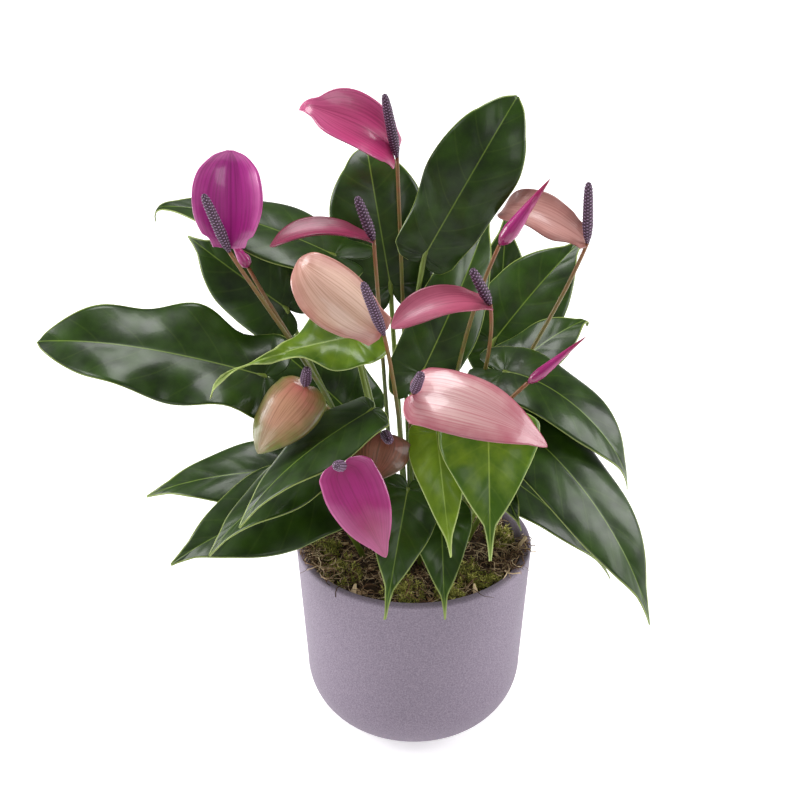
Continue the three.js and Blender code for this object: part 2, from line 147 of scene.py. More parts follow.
def deselect() -> None:
    """Leaves no object selected, so that an operator acts on the next one only."""
    bpy.ops.object.select_all(action="DESELECT")


def take(piece: Piece) -> None:
    """Makes one piece the only selected one and the active one.

    Args:
        piece: the object to work on.
    """
    deselect()
    piece.select_set(True)
    bpy.context.view_layer.objects.active = piece


def smooth(piece: Piece) -> None:
    """Shades a piece smooth."""
    take(piece)
    bpy.ops.object.shade_smooth()


def added(name: str) -> Piece:
    """Names the object that was just added, and its mesh.

    Args:
        name: the node's name, or the name of a part of the piece.

    Returns:
        The object. Its own name has an ending, because the node still holds the plain one.
    """
    piece = bpy.context.object
    piece.name = piece.data.name = name + ENDING
    return piece


def add_grid(name: str, columns: int, rows: int) -> Piece:
    """Adds a flat grid of quads, one unit wide and long, with a UV map, to be laid in shape.

    Args:
        name: the piece's name.
        columns: how many quads lie across it.
        rows: how many quads lie along it.

    Returns:
        The new object.
    """
    deselect()
    bpy.ops.mesh.primitive_grid_add(x_subdivisions=columns, y_subdivisions=rows, size=1)
    return added(name)


def read_points(piece: Piece) -> Array:
    """Reads a mesh.

    Args:
        piece: the object.

    Returns:
        Its vertices as rows of x, y and z.
    """
    flat = np.zeros(len(piece.data.vertices) * 3, np.float32)
    piece.data.vertices.foreach_get("co", flat)
    return flat.reshape(-1, 3).astype(float)


def write_points(piece: Piece, points: Array) -> None:
    """Moves a mesh's vertices to rows of x, y and z in design millimetres."""
    piece.data.vertices.foreach_set("co", (points * MM).astype(np.float32).ravel())
    piece.data.update()


def store(piece: Piece, name: str, values: Array) -> None:
    """Keeps one number per vertex under a name, for a finish to read."""
    layer = piece.data.attributes.new(name, "FLOAT", "POINT")
    layer.data.foreach_set("value", np.asarray(values, np.float32))


def close_up(piece: Piece) -> None:
    """Welds a rolled grid's seam and poles, closes its open ends and turns its faces out.

    Args:
        piece: the rolled grid.
    """
    take(piece)
    bpy.ops.object.mode_set(mode="EDIT")
    bpy.ops.mesh.select_all(action="SELECT")
    bpy.ops.mesh.remove_doubles(threshold=0.001 * MM)
    bpy.ops.mesh.fill_holes(sides=0)
    bpy.ops.mesh.normals_make_consistent(inside=False)
    bpy.ops.object.mode_set(mode="OBJECT")
    bpy.ops.object.shade_smooth()


def modify(piece: Piece, kind: str, **settings: object) -> None:
    """Adds a modifier with its settings and applies it.

    Args:
        piece: the object.
        kind: Blender's name for the modifier's kind.
        settings: the modifier's own settings.
    """
    take(piece)
    bpy.ops.object.modifier_add(type=kind)
    modifier = piece.modifiers[-1]
    for key, value in settings.items():
        setattr(modifier, key, value)
    bpy.ops.object.modifier_apply(modifier=modifier.name)


def join(piece: Piece, other: Piece) -> Piece:
    """Joins two pieces that grew as one.

    Args:
        piece: the one that keeps its name.
        other: the one that is added to it.

    Returns:
        The joined object.
    """
    take(piece)
    other.select_set(True)
    bpy.ops.object.join()
    return piece


def carried_frames(path: Array) -> tuple[Array, Array]:
    """Finds two directions square to a path at each point, carried along it with no twist.

    Args:
        path: the path's points.

    Returns:
        The two directions, one row per point.
    """
    tangents = unit(np.gradient(path, axis=0))
    firsts = [np.cross(tangents[0], [0.3, 1.0, 0.2])]
    for tangent in tangents[1:]:
        firsts.append(firsts[-1] - tangent * (firsts[-1] @ tangent))
    firsts = unit(np.array(firsts))
    return firsts, np.cross(tangents, firsts)


def roll(name: str, path: Array, sides: int, radius: Callable) -> Piece:
    """Rolls a grid round a path into a bar, which close_up then closes.

    Args:
        name: the piece's name.
        path: its centre line, one point per row.
        sides: how many quads go round it.
        radius: gives the radius for arrays of turns, from 0 to 1, and shares of the length, from 0 to 1.

    Returns:
        The bar. Its UV map runs round it and then along it.
    """
    piece = add_grid(name, sides, len(path) - 1)
    turns, shares = (read_points(piece)[:, :2] + 0.5).T
    row = np.rint(shares * (len(path) - 1)).astype(int)
    firsts, seconds = carried_frames(path)
    angle = (turns % 1.0)[:, None] * TURN
    out = np.cos(angle) * firsts[row] + np.sin(angle) * seconds[row]
    write_points(piece, path[row] + out * radius(turns, shares)[:, None])
    return piece


def ring_up(name: str, profile: list[Pair], segments: int) -> Piece:
    """Raises a round piece from a disc by extruding its edge through a profile.

    Args:
        name: the piece's name.
        profile: radius and height of each ring, from the first disc to the last one.
        segments: how many quads go round it.

    Returns:
        The closed piece.
    """
    deselect()
    radius, height = profile[0]
    bpy.ops.mesh.primitive_circle_add(
        vertices=segments, radius=radius * MM, fill_type="NGON", location=(0, 0, height * MM)
    )
    piece = added(name)
    bpy.ops.object.transform_apply(location=True, rotation=False, scale=False)
    bpy.ops.object.mode_set(mode="EDIT")
    bpy.ops.mesh.select_all(action="SELECT")
    for next_radius, next_height in profile[1:]:
        up = (0, 0, (next_height - height) * MM)
        bpy.ops.mesh.extrude_region_move(TRANSFORM_OT_translate={"value": up})
        share = next_radius / radius
        bpy.ops.transform.resize(value=(share, share, 1), center_override=(0, 0, next_height * MM))
        radius, height = next_radius, next_height
    bpy.ops.mesh.select_all(action="SELECT")
    bpy.ops.mesh.normals_make_consistent(inside=False)
    bpy.ops.object.mode_set(mode="OBJECT")
    bpy.ops.object.shade_smooth_by_angle(angle=math.radians(40))
    return piece


# ---------- Finishes ----------


def linear(colour: str) -> tuple[float, ...]:
    """Turns an sRGB hex colour into the linear one that a shader takes, with an alpha of 1."""
    parts = [int(colour[k : k + 2], 16) / 255 for k in (1, 3, 5)]
    return (*[p / 12.92 if p <= 0.04045 else ((p + 0.055) / 1.055) ** 2.4 for p in parts], 1.0)


def per_mm(size: float) -> float:
    """The texture scale whose pattern repeats about once in that many millimetres."""
    return 1 / (size * MM)


class Shading:
    """A material in the making: its node tree and its surface shader."""

    def __init__(self, name: str) -> None:
        """Starts the material.

        Args:
            name: the finish's name.
        """
        self.material = bpy.data.materials.new(name)
        self.material.use_nodes = True
        self.tree = self.material.node_tree
        self.shader = self.tree.nodes["Principled BSDF"]

    def add(self, kind: str, settings: dict | None = None, links: dict | None = None) -> bpy.types.Node:
        """Adds a node with its settings and links.

        Args:
            kind: the node's type, without the ShaderNode that each type starts with.
            settings: its properties by name, and its inputs' values by name or number.
            links: what its inputs take, by their names or numbers: an output, or a node's first one.

        Returns:
            The new node.
        """
        return self.wire(self.tree.nodes.new(f"ShaderNode{kind}"), settings or {}, links or {})

    def wire(self, node: bpy.types.Node, settings: dict, links: dict) -> bpy.types.Node:
        """Sets and links a node.

        Args:
            node: the node.
            settings: as for add.
            links: as for add.

        Returns:
            The same node.
        """
        for key, value in settings.items():
            if isinstance(key, str) and hasattr(node, key):
                setattr(node, key, value)
            else:
                node.inputs[key].default_value = value
        for key, source in links.items():
            output = source.outputs[0] if isinstance(source, bpy.types.Node) else source
            self.tree.links.new(output, node.inputs[key])
        return node

    def finish(self, settings: dict, links: dict) -> Material:
        """Sets and links the surface shader, and hands over the material."""
        self.wire(self.shader, settings, links)
        return self.material


def set_stops(ramp: bpy.types.Node, stops: dict[float, str]) -> None:
    """Sets a colour ramp's stops.

    Args:
        ramp: the ramp node.
        stops: the sRGB hex colours by their places.
    """
    elements = ramp.color_ramp.elements
    while len(elements) < len(stops):
        elements.new(1.0)
    for element, (place, colour) in zip(elements, stops.items()):
        element.position = place
        element.color = linear(colour)


@dataclass(frozen=True)
class LeafCuticle:
    """A leaf's upper side: a thick waxy cuticle over dark tissue. It gives broad soft highlights that break
    where the blade bulges, and thin pale lines along the midrib and the margin."""

    name: str
    deep: str
    fresh: str
    vein: str
    edge: str
    smoothest: float = 0.31  # the roughness where the wax is whole
    roughest: float = 0.43  # and where it is worn or dusty
    mottle: float = 14  # mm
    swell: float = 11  # mm
    grain: float = 1.6  # mm

    def build(self) -> Material:
        """Builds the material."""
        wax = Shading(self.name)
        place = wax.add("TexCoord").outputs["Object"]
        mottle, grain, swell = (
            wax.add("TexNoise", {"Scale": per_mm(size), "Detail": detail}, {"Vector": place})
            for size, detail in ((self.mottle, 4), (self.grain, 2), (self.swell, 1))
        )
        tone = wax.add("Attribute", {"attribute_name": "tone"}).outputs["Fac"]
        shade = wax.add("Math", {"operation": "ADD"}, {0: mottle, 1: tone})
        body = wax.add("MapRange", {"From Min": 0.3, "From Max": 1}, {"Value": shade})
        greens = {"data_type": "RGBA", 6: linear(self.deep), 7: linear(self.fresh)}
        colour = wax.add("Mix", greens, {0: body})
        # Each line fades out between two distances, in millimetres.
        for line, near, far, strength, tint in (
            ("vein", 0.05, 0.6, 0.05, self.vein),
            ("midrib", 0.15, 0.6, 0.5, self.vein),
            ("margin", 0.15, 0.45, 0.6, self.edge),
        ):
            distance = wax.add("Attribute", {"attribute_name": line}).outputs["Fac"]
            fade = {"From Min": near, "From Max": far, "To Min": strength, "To Max": 0}
            share = wax.add("MapRange", fade, {"Value": distance})
            drawn = {"data_type": "RGBA", 7: linear(tint)}
            colour = wax.add("Mix", drawn, {0: share, 6: colour.outputs[2]})
        bulge = wax.add("Bump", {"Strength": 0.2, "Distance": 1.2 * MM}, {"Height": swell})
        pores = {"Strength": 0.12, "Distance": 0.3 * MM}
        bump = wax.add("Bump", pores, {"Height": grain, "Normal": bulge})
        wear = {"From Min": 0.35, "From Max": 0.65, "To Min": self.smoothest, "To Max": self.roughest}
        gloss = wax.add("MapRange", wear, {"Value": swell})
        return wax.finish(
            {"IOR": 1.45, "Specular IOR Level": 0.32, "Coat Weight": 0.13, "Coat Roughness": 0.14},
            {"Base Color": colour.outputs[2], "Normal": bump, "Roughness": gloss},
        )


@dataclass(frozen=True)
class LeafUnderside:
    """A leaf's underside: thin cuticle over spongy tissue, so it looks paler and more matt than the top."""

    name: str
    body: str
    vein: str
    mottle: float = 9  # mm

    def build(self) -> Material:
        """Builds the material."""
        skin = Shading(self.name)
        place = skin.add("TexCoord").outputs["Object"]
        mottle = skin.add("TexNoise", {"Scale": per_mm(self.mottle), "Detail": 3}, {"Vector": place})
        distance = skin.add("Attribute", {"attribute_name": "vein"}).outputs["Fac"]
        fade = {"From Min": 0.1, "From Max": 1.2, "To Min": 0.7, "To Max": 0}
        line = skin.add("MapRange", fade, {"Value": distance})
        share = skin.add("Math", {"operation": "MULTIPLY_ADD", 1: 0.4}, {0: mottle, 2: line})
        greens = {"data_type": "RGBA", 6: linear(self.body), 7: linear(self.vein)}
        colour = skin.add("Mix", greens, {0: share})
        return skin.finish({"Roughness": 0.5}, {"Base Color": colour.outputs[2]})


@dataclass(frozen=True)
class StemSkin:
    """A stem's smooth green skin. It flushes from olive at the crown to orange brown under the flower."""

    name: str
    low: str
    high: str
    streak: float = 4.8  # mm

    def build(self) -> Material:
        """Builds the material."""
        skin = Shading(self.name)
        place = skin.add("TexCoord")
        along = skin.add("SeparateXYZ", None, {0: place.outputs["UV"]}).outputs[1]
        noise = {"Scale": per_mm(self.streak), "Detail": 3}
        streak = skin.add("TexNoise", noise, {"Vector": place.outputs["Object"]})
        share = skin.add("Math", {"operation": "MULTIPLY_ADD", 1: 0.5}, {0: streak, 2: along})
        run = skin.add("MapRange", {"From Min": 0.78, "From Max": 1.35}, {"Value": share})
        skins = {"data_type": "RGBA", 6: linear(self.low), 7: linear(self.high)}
        colour = skin.add("Mix", skins, {0: run})
        return skin.finish({"Roughness": 0.38}, {"Base Color": colour.outputs[2]})


@dataclass(frozen=True)
class SpatheWax:
    """A spathe's waxy skin. Its colour runs from the throat by the stalk to the tip and changes again
    towards the margin. Fine darker veins of uneven strength run its length and ripple its highlights."""

    name: str
    throat: str
    body: str
    tip: str
    edge: str
    vein: str
    edge_strength: float = 0.7
    edge_reach: float = 5  # mm
    vein_strength: float = 0.6
    veins: float = 26  # across the spathe
    roughness: float = 0.3
    coat: float = 0.3
    mottle: float = 10  # mm

    def build(self) -> Material:
        """Builds the material."""
        wax = Shading(self.name)
        place = wax.add("TexCoord")
        along = wax.add("SeparateXYZ", None, {0: place.outputs["UV"]}).outputs[1]
        run = wax.add("ValToRGB", None, {0: along})
        set_stops(run, {0.04: self.throat, 0.45: self.body, 0.98: self.tip})
        margin = wax.add("Attribute", {"attribute_name": "margin"}).outputs["Fac"]
        noise = {"Scale": per_mm(self.mottle), "Detail": 4}
        mottle = wax.add("TexNoise", noise, {"Vector": place.outputs["Object"]})
        # The margin's colour reaches in by an uneven way.
        reach = self.edge_reach
        inward = wax.add("Math", {"operation": "MULTIPLY_ADD", 1: -2 * reach}, {0: mottle, 2: margin})
        fade = {"From Min": -reach, "From Max": reach * 0.5, "To Min": self.edge_strength, "To Max": 0}
        rim = wax.add("MapRange", fade, {"Value": inward})
        colour = wax.add("Mix", {"data_type": "RGBA", 7: linear(self.edge)}, {0: rim, 6: run})
        # The noise is drawn out lengthwise, so that it makes veins.
        lengthwise = {"operation": "MULTIPLY", 1: (self.veins, 1.6, 0)}
        drawn = wax.add("VectorMath", lengthwise, {0: place.outputs["UV"]})
        streak = wax.add("TexNoise", {"Scale": 1, "Detail": 2}, {"Vector": drawn})
        fade = {"From Min": 0.46, "From Max": 0.66, "To Min": 0, "To Max": self.vein_strength}
        line = wax.add("MapRange", fade, {"Value": streak})
        veined = {"data_type": "RGBA", 7: linear(self.vein)}
        colour = wax.add("Mix", veined, {0: line, 6: colour.outputs[2]})
        ripple = wax.add("Bump", {"Strength": 0.35, "Distance": 0.35 * MM}, {"Height": streak})
        return wax.finish(
            {"Roughness": self.roughness, "Coat Weight": self.coat, "Coat Roughness": 0.1},
            {"Base Color": colour.outputs[2], "Normal": ripple},
        )


@dataclass(frozen=True)
class SpadixBloom:
    """A spadix, crowded with tiny flowers: dark purple between them, and each one paler at its middle."""

    name: str
    between: str
    floret: str

    def build(self) -> Material:
        """Builds the material."""
        crowd = Shading(self.name)
        floret = crowd.add("Attribute", {"attribute_name": "floret"}).outputs["Fac"]
        ramp = crowd.add("ValToRGB", None, {0: floret})
        set_stops(ramp, {0.62: self.between, 0.95: self.floret})
        return crowd.finish({"Roughness": 0.55}, {"Base Color": ramp})


@dataclass(frozen=True)
class SpeckledStoneware:
    """Stoneware with a matt engobe, sprayed in fine droplets: a lavender grey with paler and darker
    specks that only just show."""

    name: str
    body: str
    pale: str
    dark: str
    speck: float = 0.8  # mm, coarser than the real 0.3 mm droplets, so that they show

    def build(self) -> Material:
        """Builds the material."""
        engobe = Shading(self.name)
        place = engobe.add("TexCoord").outputs["Object"]
        fine = engobe.add("TexNoise", {"Scale": per_mm(self.speck), "Detail": 2}, {"Vector": place})
        specks = engobe.add("ValToRGB", None, {0: fine})
        set_stops(specks, {0.34: self.dark, 0.5: self.body, 0.68: self.pale})
        bump = engobe.add("Bump", {"Strength": 0.25, "Distance": 0.1 * MM}, {"Height": fine})
        return engobe.finish(
            {"Roughness": 0.72, "Coat Weight": 0.12, "Coat Roughness": 0.3},
            {"Base Color": specks, "Normal": bump},
        )


@dataclass(frozen=True)
class Litter:
    """Loose dry or damp plant matter, matt and grained, each bit in its own shade."""

    name: str
    shades: dict[float, str]
    roughness: float = 0.9
    grain: float = 2  # mm

    def build(self) -> Material:
        """Builds the material."""
        bits = Shading(self.name)
        place = bits.add("TexCoord").outputs["Object"]
        grain = bits.add("TexNoise", {"Scale": per_mm(self.grain), "Detail": 4}, {"Vector": place})
        shade = bits.add("Attribute", {"attribute_name": "shade"}).outputs["Fac"]
        share = bits.add("Math", {"operation": "MULTIPLY_ADD", 1: 0.35}, {0: grain, 2: shade})
        ramp = bits.add("ValToRGB", None, {0: share})
        set_stops(ramp, self.shades)
        bump = bits.add("Bump", {"Strength": 0.5, "Distance": 0.4 * MM}, {"Height": grain})
        return bits.finish({"Roughness": self.roughness}, {"Base Color": ramp, "Normal": bump})


class LeafAge(Enum):
    """How old a leaf is: the record's slot, and the greens of its upper side (deep, fresh, veins, edge), its
    underside (body, veins) and its margin (body, veins)."""

    MATURE = ("leaf", "#0e1c05 #324f0e #7f9a3c #a9b964", "#3f6128 #7f9a48", "#8a9f4a #a9b964")
    YOUNG = ("young_leaf", "#3c5c0c #84a022 #a9c455 #cbd98a", "#7ba32f #b3cc5c", "#b9cc6a #cbd98a")


class Bloom(Enum):
    """The spathes' colourings: the record's slot, the colours of throat, body, tip, edge and veins, and what
    else sets the finish apart."""

    # The pale pink margin is partly the spathe's own colour and partly a painted highlight, standing in for
    # the wet shine along its edges.
    PURPLE = (
        "spathe_magenta", "#7c1458 #a81e80 #b42a90 #cc5aa4 #641048", {"vein_strength": 0.45, "coat": 0.45}
    )  # fmt: skip
    CRIMSON = ("spathe_magenta", "#a8305c #b4386e #b8547c #c05484 #7c1a44", {})
    # The paler pink margin is partly the spathe's own colour and partly a painted highlight, standing in for
    # the shine on its lower edge.
    MAGENTA = (
        "spathe_magenta", "#8c1c58 #a42074 #8c0c30 #b04484 #6c1040", {"vein_strength": 0.4, "coat": 0.5}
    )  # fmt: skip
    MAUVE = ("spathe_mauve", "#a03c58 #ac4c68 #b4607c #7c2c40 #7c2844", {"roughness": 0.42, "coat": 0.12})
    WINE = ("spathe_mauve", "#801c44 #8a1c48 #943458 #5a1026 #4c0c20", {"roughness": 0.4, "coat": 0.1})
    PEACH = (
        "spathe_peach", "#b8605c #dab49c #dcaea0 #b06a64 #a0684c",
        {"veins": 34, "vein_strength": 0.5, "coat": 0.45},
    )  # fmt: skip
    DUSTY = ("spathe_peach", "#b07c74 #bc8a82 #b07a72 #70403a #8c5048", {"roughness": 0.4, "coat": 0.15})
    GREENING = (
        "spathe_peach", "#ac4048 #b08064 #b4866e #667032 #764a2c",
        {"edge_strength": 0.95, "edge_reach": 8, "veins": 34},
    )  # fmt: skip
    BROWN = ("spathe_peach", "#7c3834 #8c5840 #84523e #4c4624 #3a301a", {})
    PINK = ("spathe_pink", "#b06874 #cca2a0 #a85c6c #9c3450 #a44858", {"coat": 0.45, "veins": 34})


class Palette:
    """Every finish of the plant, its pot and what fills it, each built once."""

    LITTER = {
        "leaf_mould": {0.2: "#1c120a", 0.6: "#4a3420", 1.0: "#84643e"},
        "potting_soil": {0.2: "#1a120c", 0.8: "#3f2e20"},
        "sphagnum_moss": {0.2: "#3c3c12", 0.55: "#8a8c34", 1.0: "#dcd678"},
        "dry_root_fibre": {0.2: "#2e1e12", 0.6: "#8e6c4c", 1.1: "#ecd4ac"},
        "pine_bark_chip": {0.15: "#4a301e", 0.6: "#a07c58", 1.0: "#e6cca4"},
    }

    def __init__(self) -> None:
        """Builds the finishes."""
        self.leaf = {}
        for age in LeafAge:
            _, upper, under, rim = age.value
            kind = age.name.lower()
            self.leaf[age] = (
                LeafCuticle(f"waxy_leaf_upper_{kind}", *upper.split()).build(),
                LeafUnderside(f"leaf_underside_{kind}", *under.split()).build(),
                LeafUnderside(f"leaf_margin_{kind}", *rim.split()).build(),
            )
        self.spathes = {}
        for bloom in Bloom:
            _, colours, traits = bloom.value
            wax = SpatheWax(f"waxy_spathe_{bloom.name.lower()}", *colours.split(), **traits)
            self.spathes[bloom] = wax.build()
        self.petiole = StemSkin("petiole_skin", low="#6a7c2c", high="#7c8e3a").build()
        self.stalk = StemSkin("flower_stalk_skin", low="#566a22", high="#84462a").build()
        self.spadix = SpadixBloom("spadix_florets", between="#34142e", floret="#a082a4").build()
        pot = SpeckledStoneware("matt_speckled_stoneware", body="#827686", pale="#8f8392", dark="#75697a")
        self.pot = pot.build()
        self.litter = {name: Litter(name, shades).build() for name, shades in self.LITTER.items()}


# ---------- Blades: the leaves' and the spathes' one shape ----------


class Outline(Enum):
    """Half outlines from the notch at the joint, round the lobe and out to the tip. Each row is where its
    line leaves the midrib, where it meets the margin, and how wide it is there. The first two are shares of
    the blade's length, or of the lobe's where they are behind the joint, and the last of its half width."""

    FULL = (
        (0.0, -1.0, 0.36), (0.0, -0.9, 0.66), (0.0, -0.4, 0.88), (0.01, 0.09, 0.97), (0.11, 0.31, 1.0),
        (0.27, 0.52, 0.87), (0.48, 0.72, 0.57), (0.7, 0.87, 0.26), (0.87, 0.95, 0.1), (0.998, 1.0, 0.022),
    )  # fmt: skip
    BLUNT = (
        (0.0, -1.0, 0.36), (0.0, -0.9, 0.62), (0.0, -0.4, 0.8), (0.01, 0.09, 0.93), (0.11, 0.31, 1.0),
        (0.27, 0.52, 0.97), (0.46, 0.71, 0.8), (0.68, 0.86, 0.52), (0.88, 0.96, 0.24), (0.998, 1.0, 0.03),
    )  # fmt: skip
    ROUND = (
        (0.0, -1.0, 0.36), (0.0, -0.9, 0.66), (0.0, -0.4, 0.86), (0.01, 0.09, 0.93), (0.11, 0.31, 0.98),
        (0.27, 0.5, 1.0), (0.46, 0.69, 0.9), (0.67, 0.85, 0.64), (0.87, 0.955, 0.34), (0.998, 1.0, 0.04),
    )  # fmt: skip
    PADDLE = (
        (0.0, -1.0, 0.3), (0.0, -0.9, 0.52), (0.0, -0.4, 0.66), (0.01, 0.09, 0.77), (0.11, 0.31, 0.9),
        (0.27, 0.52, 1.0), (0.46, 0.7, 0.97), (0.67, 0.86, 0.74), (0.87, 0.955, 0.38), (0.998, 1.0, 0.04),
    )  # fmt: skip
    TAPERING = (
        (0.0, -1.0, 0.36), (0.0, -0.9, 0.7), (0.0, -0.4, 0.94), (0.01, 0.08, 1.0), (0.1, 0.28, 0.9),
        (0.26, 0.48, 0.68), (0.47, 0.7, 0.4), (0.7, 0.85, 0.18), (0.86, 0.94, 0.07), (0.998, 1.0, 0.022),
    )  # fmt: skip
    SPOON = (
        (0.0, -1.0, 0.2), (0.01, -0.6, 0.38), (0.04, 0.05, 0.58), (0.14, 0.24, 0.82), (0.3, 0.46, 1.0),
        (0.5, 0.67, 0.95), (0.71, 0.85, 0.66), (0.89, 0.96, 0.27), (0.998, 1.0, 0.03),
    )  # fmt: skip
    EGG = (
        (0.0, -1.0, 0.12), (0.005, -0.5, 0.28), (0.02, 0.03, 0.47), (0.1, 0.16, 0.74), (0.26, 0.37, 0.96),
        (0.46, 0.6, 1.0), (0.68, 0.8, 0.82), (0.87, 0.945, 0.48), (0.998, 1.0, 0.08),
    )  # fmt: skip
    BEAKED = (
        (0.0, -1.0, 0.22), (0.01, -0.6, 0.42), (0.04, 0.05, 0.6), (0.13, 0.22, 0.82), (0.28, 0.42, 0.98),
        (0.46, 0.62, 1.0), (0.65, 0.78, 0.8), (0.82, 0.89, 0.4), (0.93, 0.96, 0.17), (0.998, 1.0, 0.06),
    )  # fmt: skip
    HEART = (
        (0.0, -1.0, 0.34), (0.01, -0.7, 0.68), (0.05, 0.02, 0.93), (0.16, 0.26, 1.0), (0.33, 0.48, 0.92),
        (0.53, 0.68, 0.71), (0.73, 0.86, 0.4), (0.9, 0.965, 0.15), (0.998, 1.0, 0.02),
    )  # fmt: skip


@dataclass(frozen=True, kw_only=True)
class Blade:
    """A thin blade that hangs on a midrib. Lengths are in millimetres and angles in degrees.

    joint is where it starts, tip where it ends, and faces the way that its upper side looks. rise and fall
    are the midrib's angles to the line from joint to tip, fold is how far the halves stand up beside the
    midrib, and curl how far they bend down again to the margin."""

    joint: Triple
    tip: Triple
    faces: Triple
    width: float
    outline: Outline
    lobe: float
    fold: float
    curl: float
    lobe_lift: float
    rise: float
    fall: float
    tail: float
    thickness: float
    veins: int  # on each side, counted along the midrib
    quilt: float  # how far the blade bulges between its veins
    wave: float = 0.0  # how far the margin swings to each side
    waves: float = 2.0  # how many swings there are
    phase: float = 0.0  # how far the swings are moved along, in swings
    hook: float = 0.0  # how far the end turns up
    hook_from: float = 0.75  # the share of the length where the end starts to turn
    crease: float = 1.5  # how far from the midrib the fold is rounded off
    tone: float = 0.1  # how much fresher its green is than the finish's middle one

    STATIONS = 240
    ROWS_PER_VEIN = 7
    COLUMNS = 26
    TAIL_START = 0.9
    NOTCH_LINES = 6  # one over the share of the lines that bend round the notch

    def lay(self) -> "Lay":
        """Works out how the blade lies."""
        return Lay(self)

    def half_outline(self, shares: Array, length: float) -> tuple[Array, Array, Array]:
        """Reads the outline.

        Args:
            shares: where along the outline, from 0 at the notch to 1 at the tip.
            length: the midrib's length.

        Returns:
            For each share, where its line leaves the midrib, where it meets the margin, and how wide it is.
        """
        starts, ends, widths = (through(list(column), shares) for column in zip(*self.outline.value))
        long = self.TAIL_START
        begun, drawn = (
            np.where(
                places < long,
                places * (long - self.tail) / long,
                (long - self.tail) + (places - long) / (1 - long) * (1 - long + self.tail),
            )
            for places in (starts, ends)
        )
        ends_mm = np.where(ends < 0, ends * self.lobe * length, drawn * length)
        return begun * length, ends_mm, widths * self.width / 2

    def sheet(self, name: str) -> Piece:
        """Models the blade as one closed sheet.

        Args:
            name: the piece's name.

        Returns:
            The sheet. Its UV map runs across it and then along it.
        """
        lay = self.lay()
        rows = self.veins * self.ROWS_PER_VEIN
        piece = add_grid(name, self.COLUMNS, rows)
        flat = read_points(piece)
        across = np.round(flat[:, 0] * 2, 5)
        shares = np.round(flat[:, 1] + 0.5, 5)
        starts, ends, widths = self.half_outline(shares, lay.length)
        out = np.abs(across)
        sweep = out**1.35
        x = starts + (ends - starts) * sweep
        # The lines by the notch leave the joint backwards, along its edges, and then round the lobes.
        notch = ease(1 - shares * self.NOTCH_LINES)
        x += notch * (ends * (2 * out - out**2) - x)
        y = np.sign(across) * widths * (out + notch * (0.3 * out * (1 - out) + out**2 - out))
        # Distances that the finishes read.
        nearest = np.abs((shares * self.veins + 0.5) % 1 - 0.5)
        spacing = lay.length / self.veins
        vein = nearest * spacing
        margin = widths * (1 - out)
        lift = self.quilt * (1 - (1 - 2 * nearest) ** 2) * np.sin(np.pi * np.clip(out, 0, 1)) ** 0.7
        side = np.sign(across)
        swing = np.sin(TURN * (self.waves * x / lay.length + 0.21 * side + self.phase))
        lift += self.wave * swing * out**2 * np.clip(1.15 - x / lay.length, 0, 1)
        write_points(piece, lay.surface(x, y, lift))
        store(piece, "vein", np.where(shares > 0.985, spacing, vein))
        store(piece, "midrib", widths * out)
        store(piece, "margin", margin)
        store(piece, "tone", np.full(len(x), self.tone))
        wall = self.thickness * MM
        modify(piece, "SOLIDIFY", thickness=wall, offset=0.0, material_offset=1, material_offset_rim=2)
        smooth(piece)
        return piece


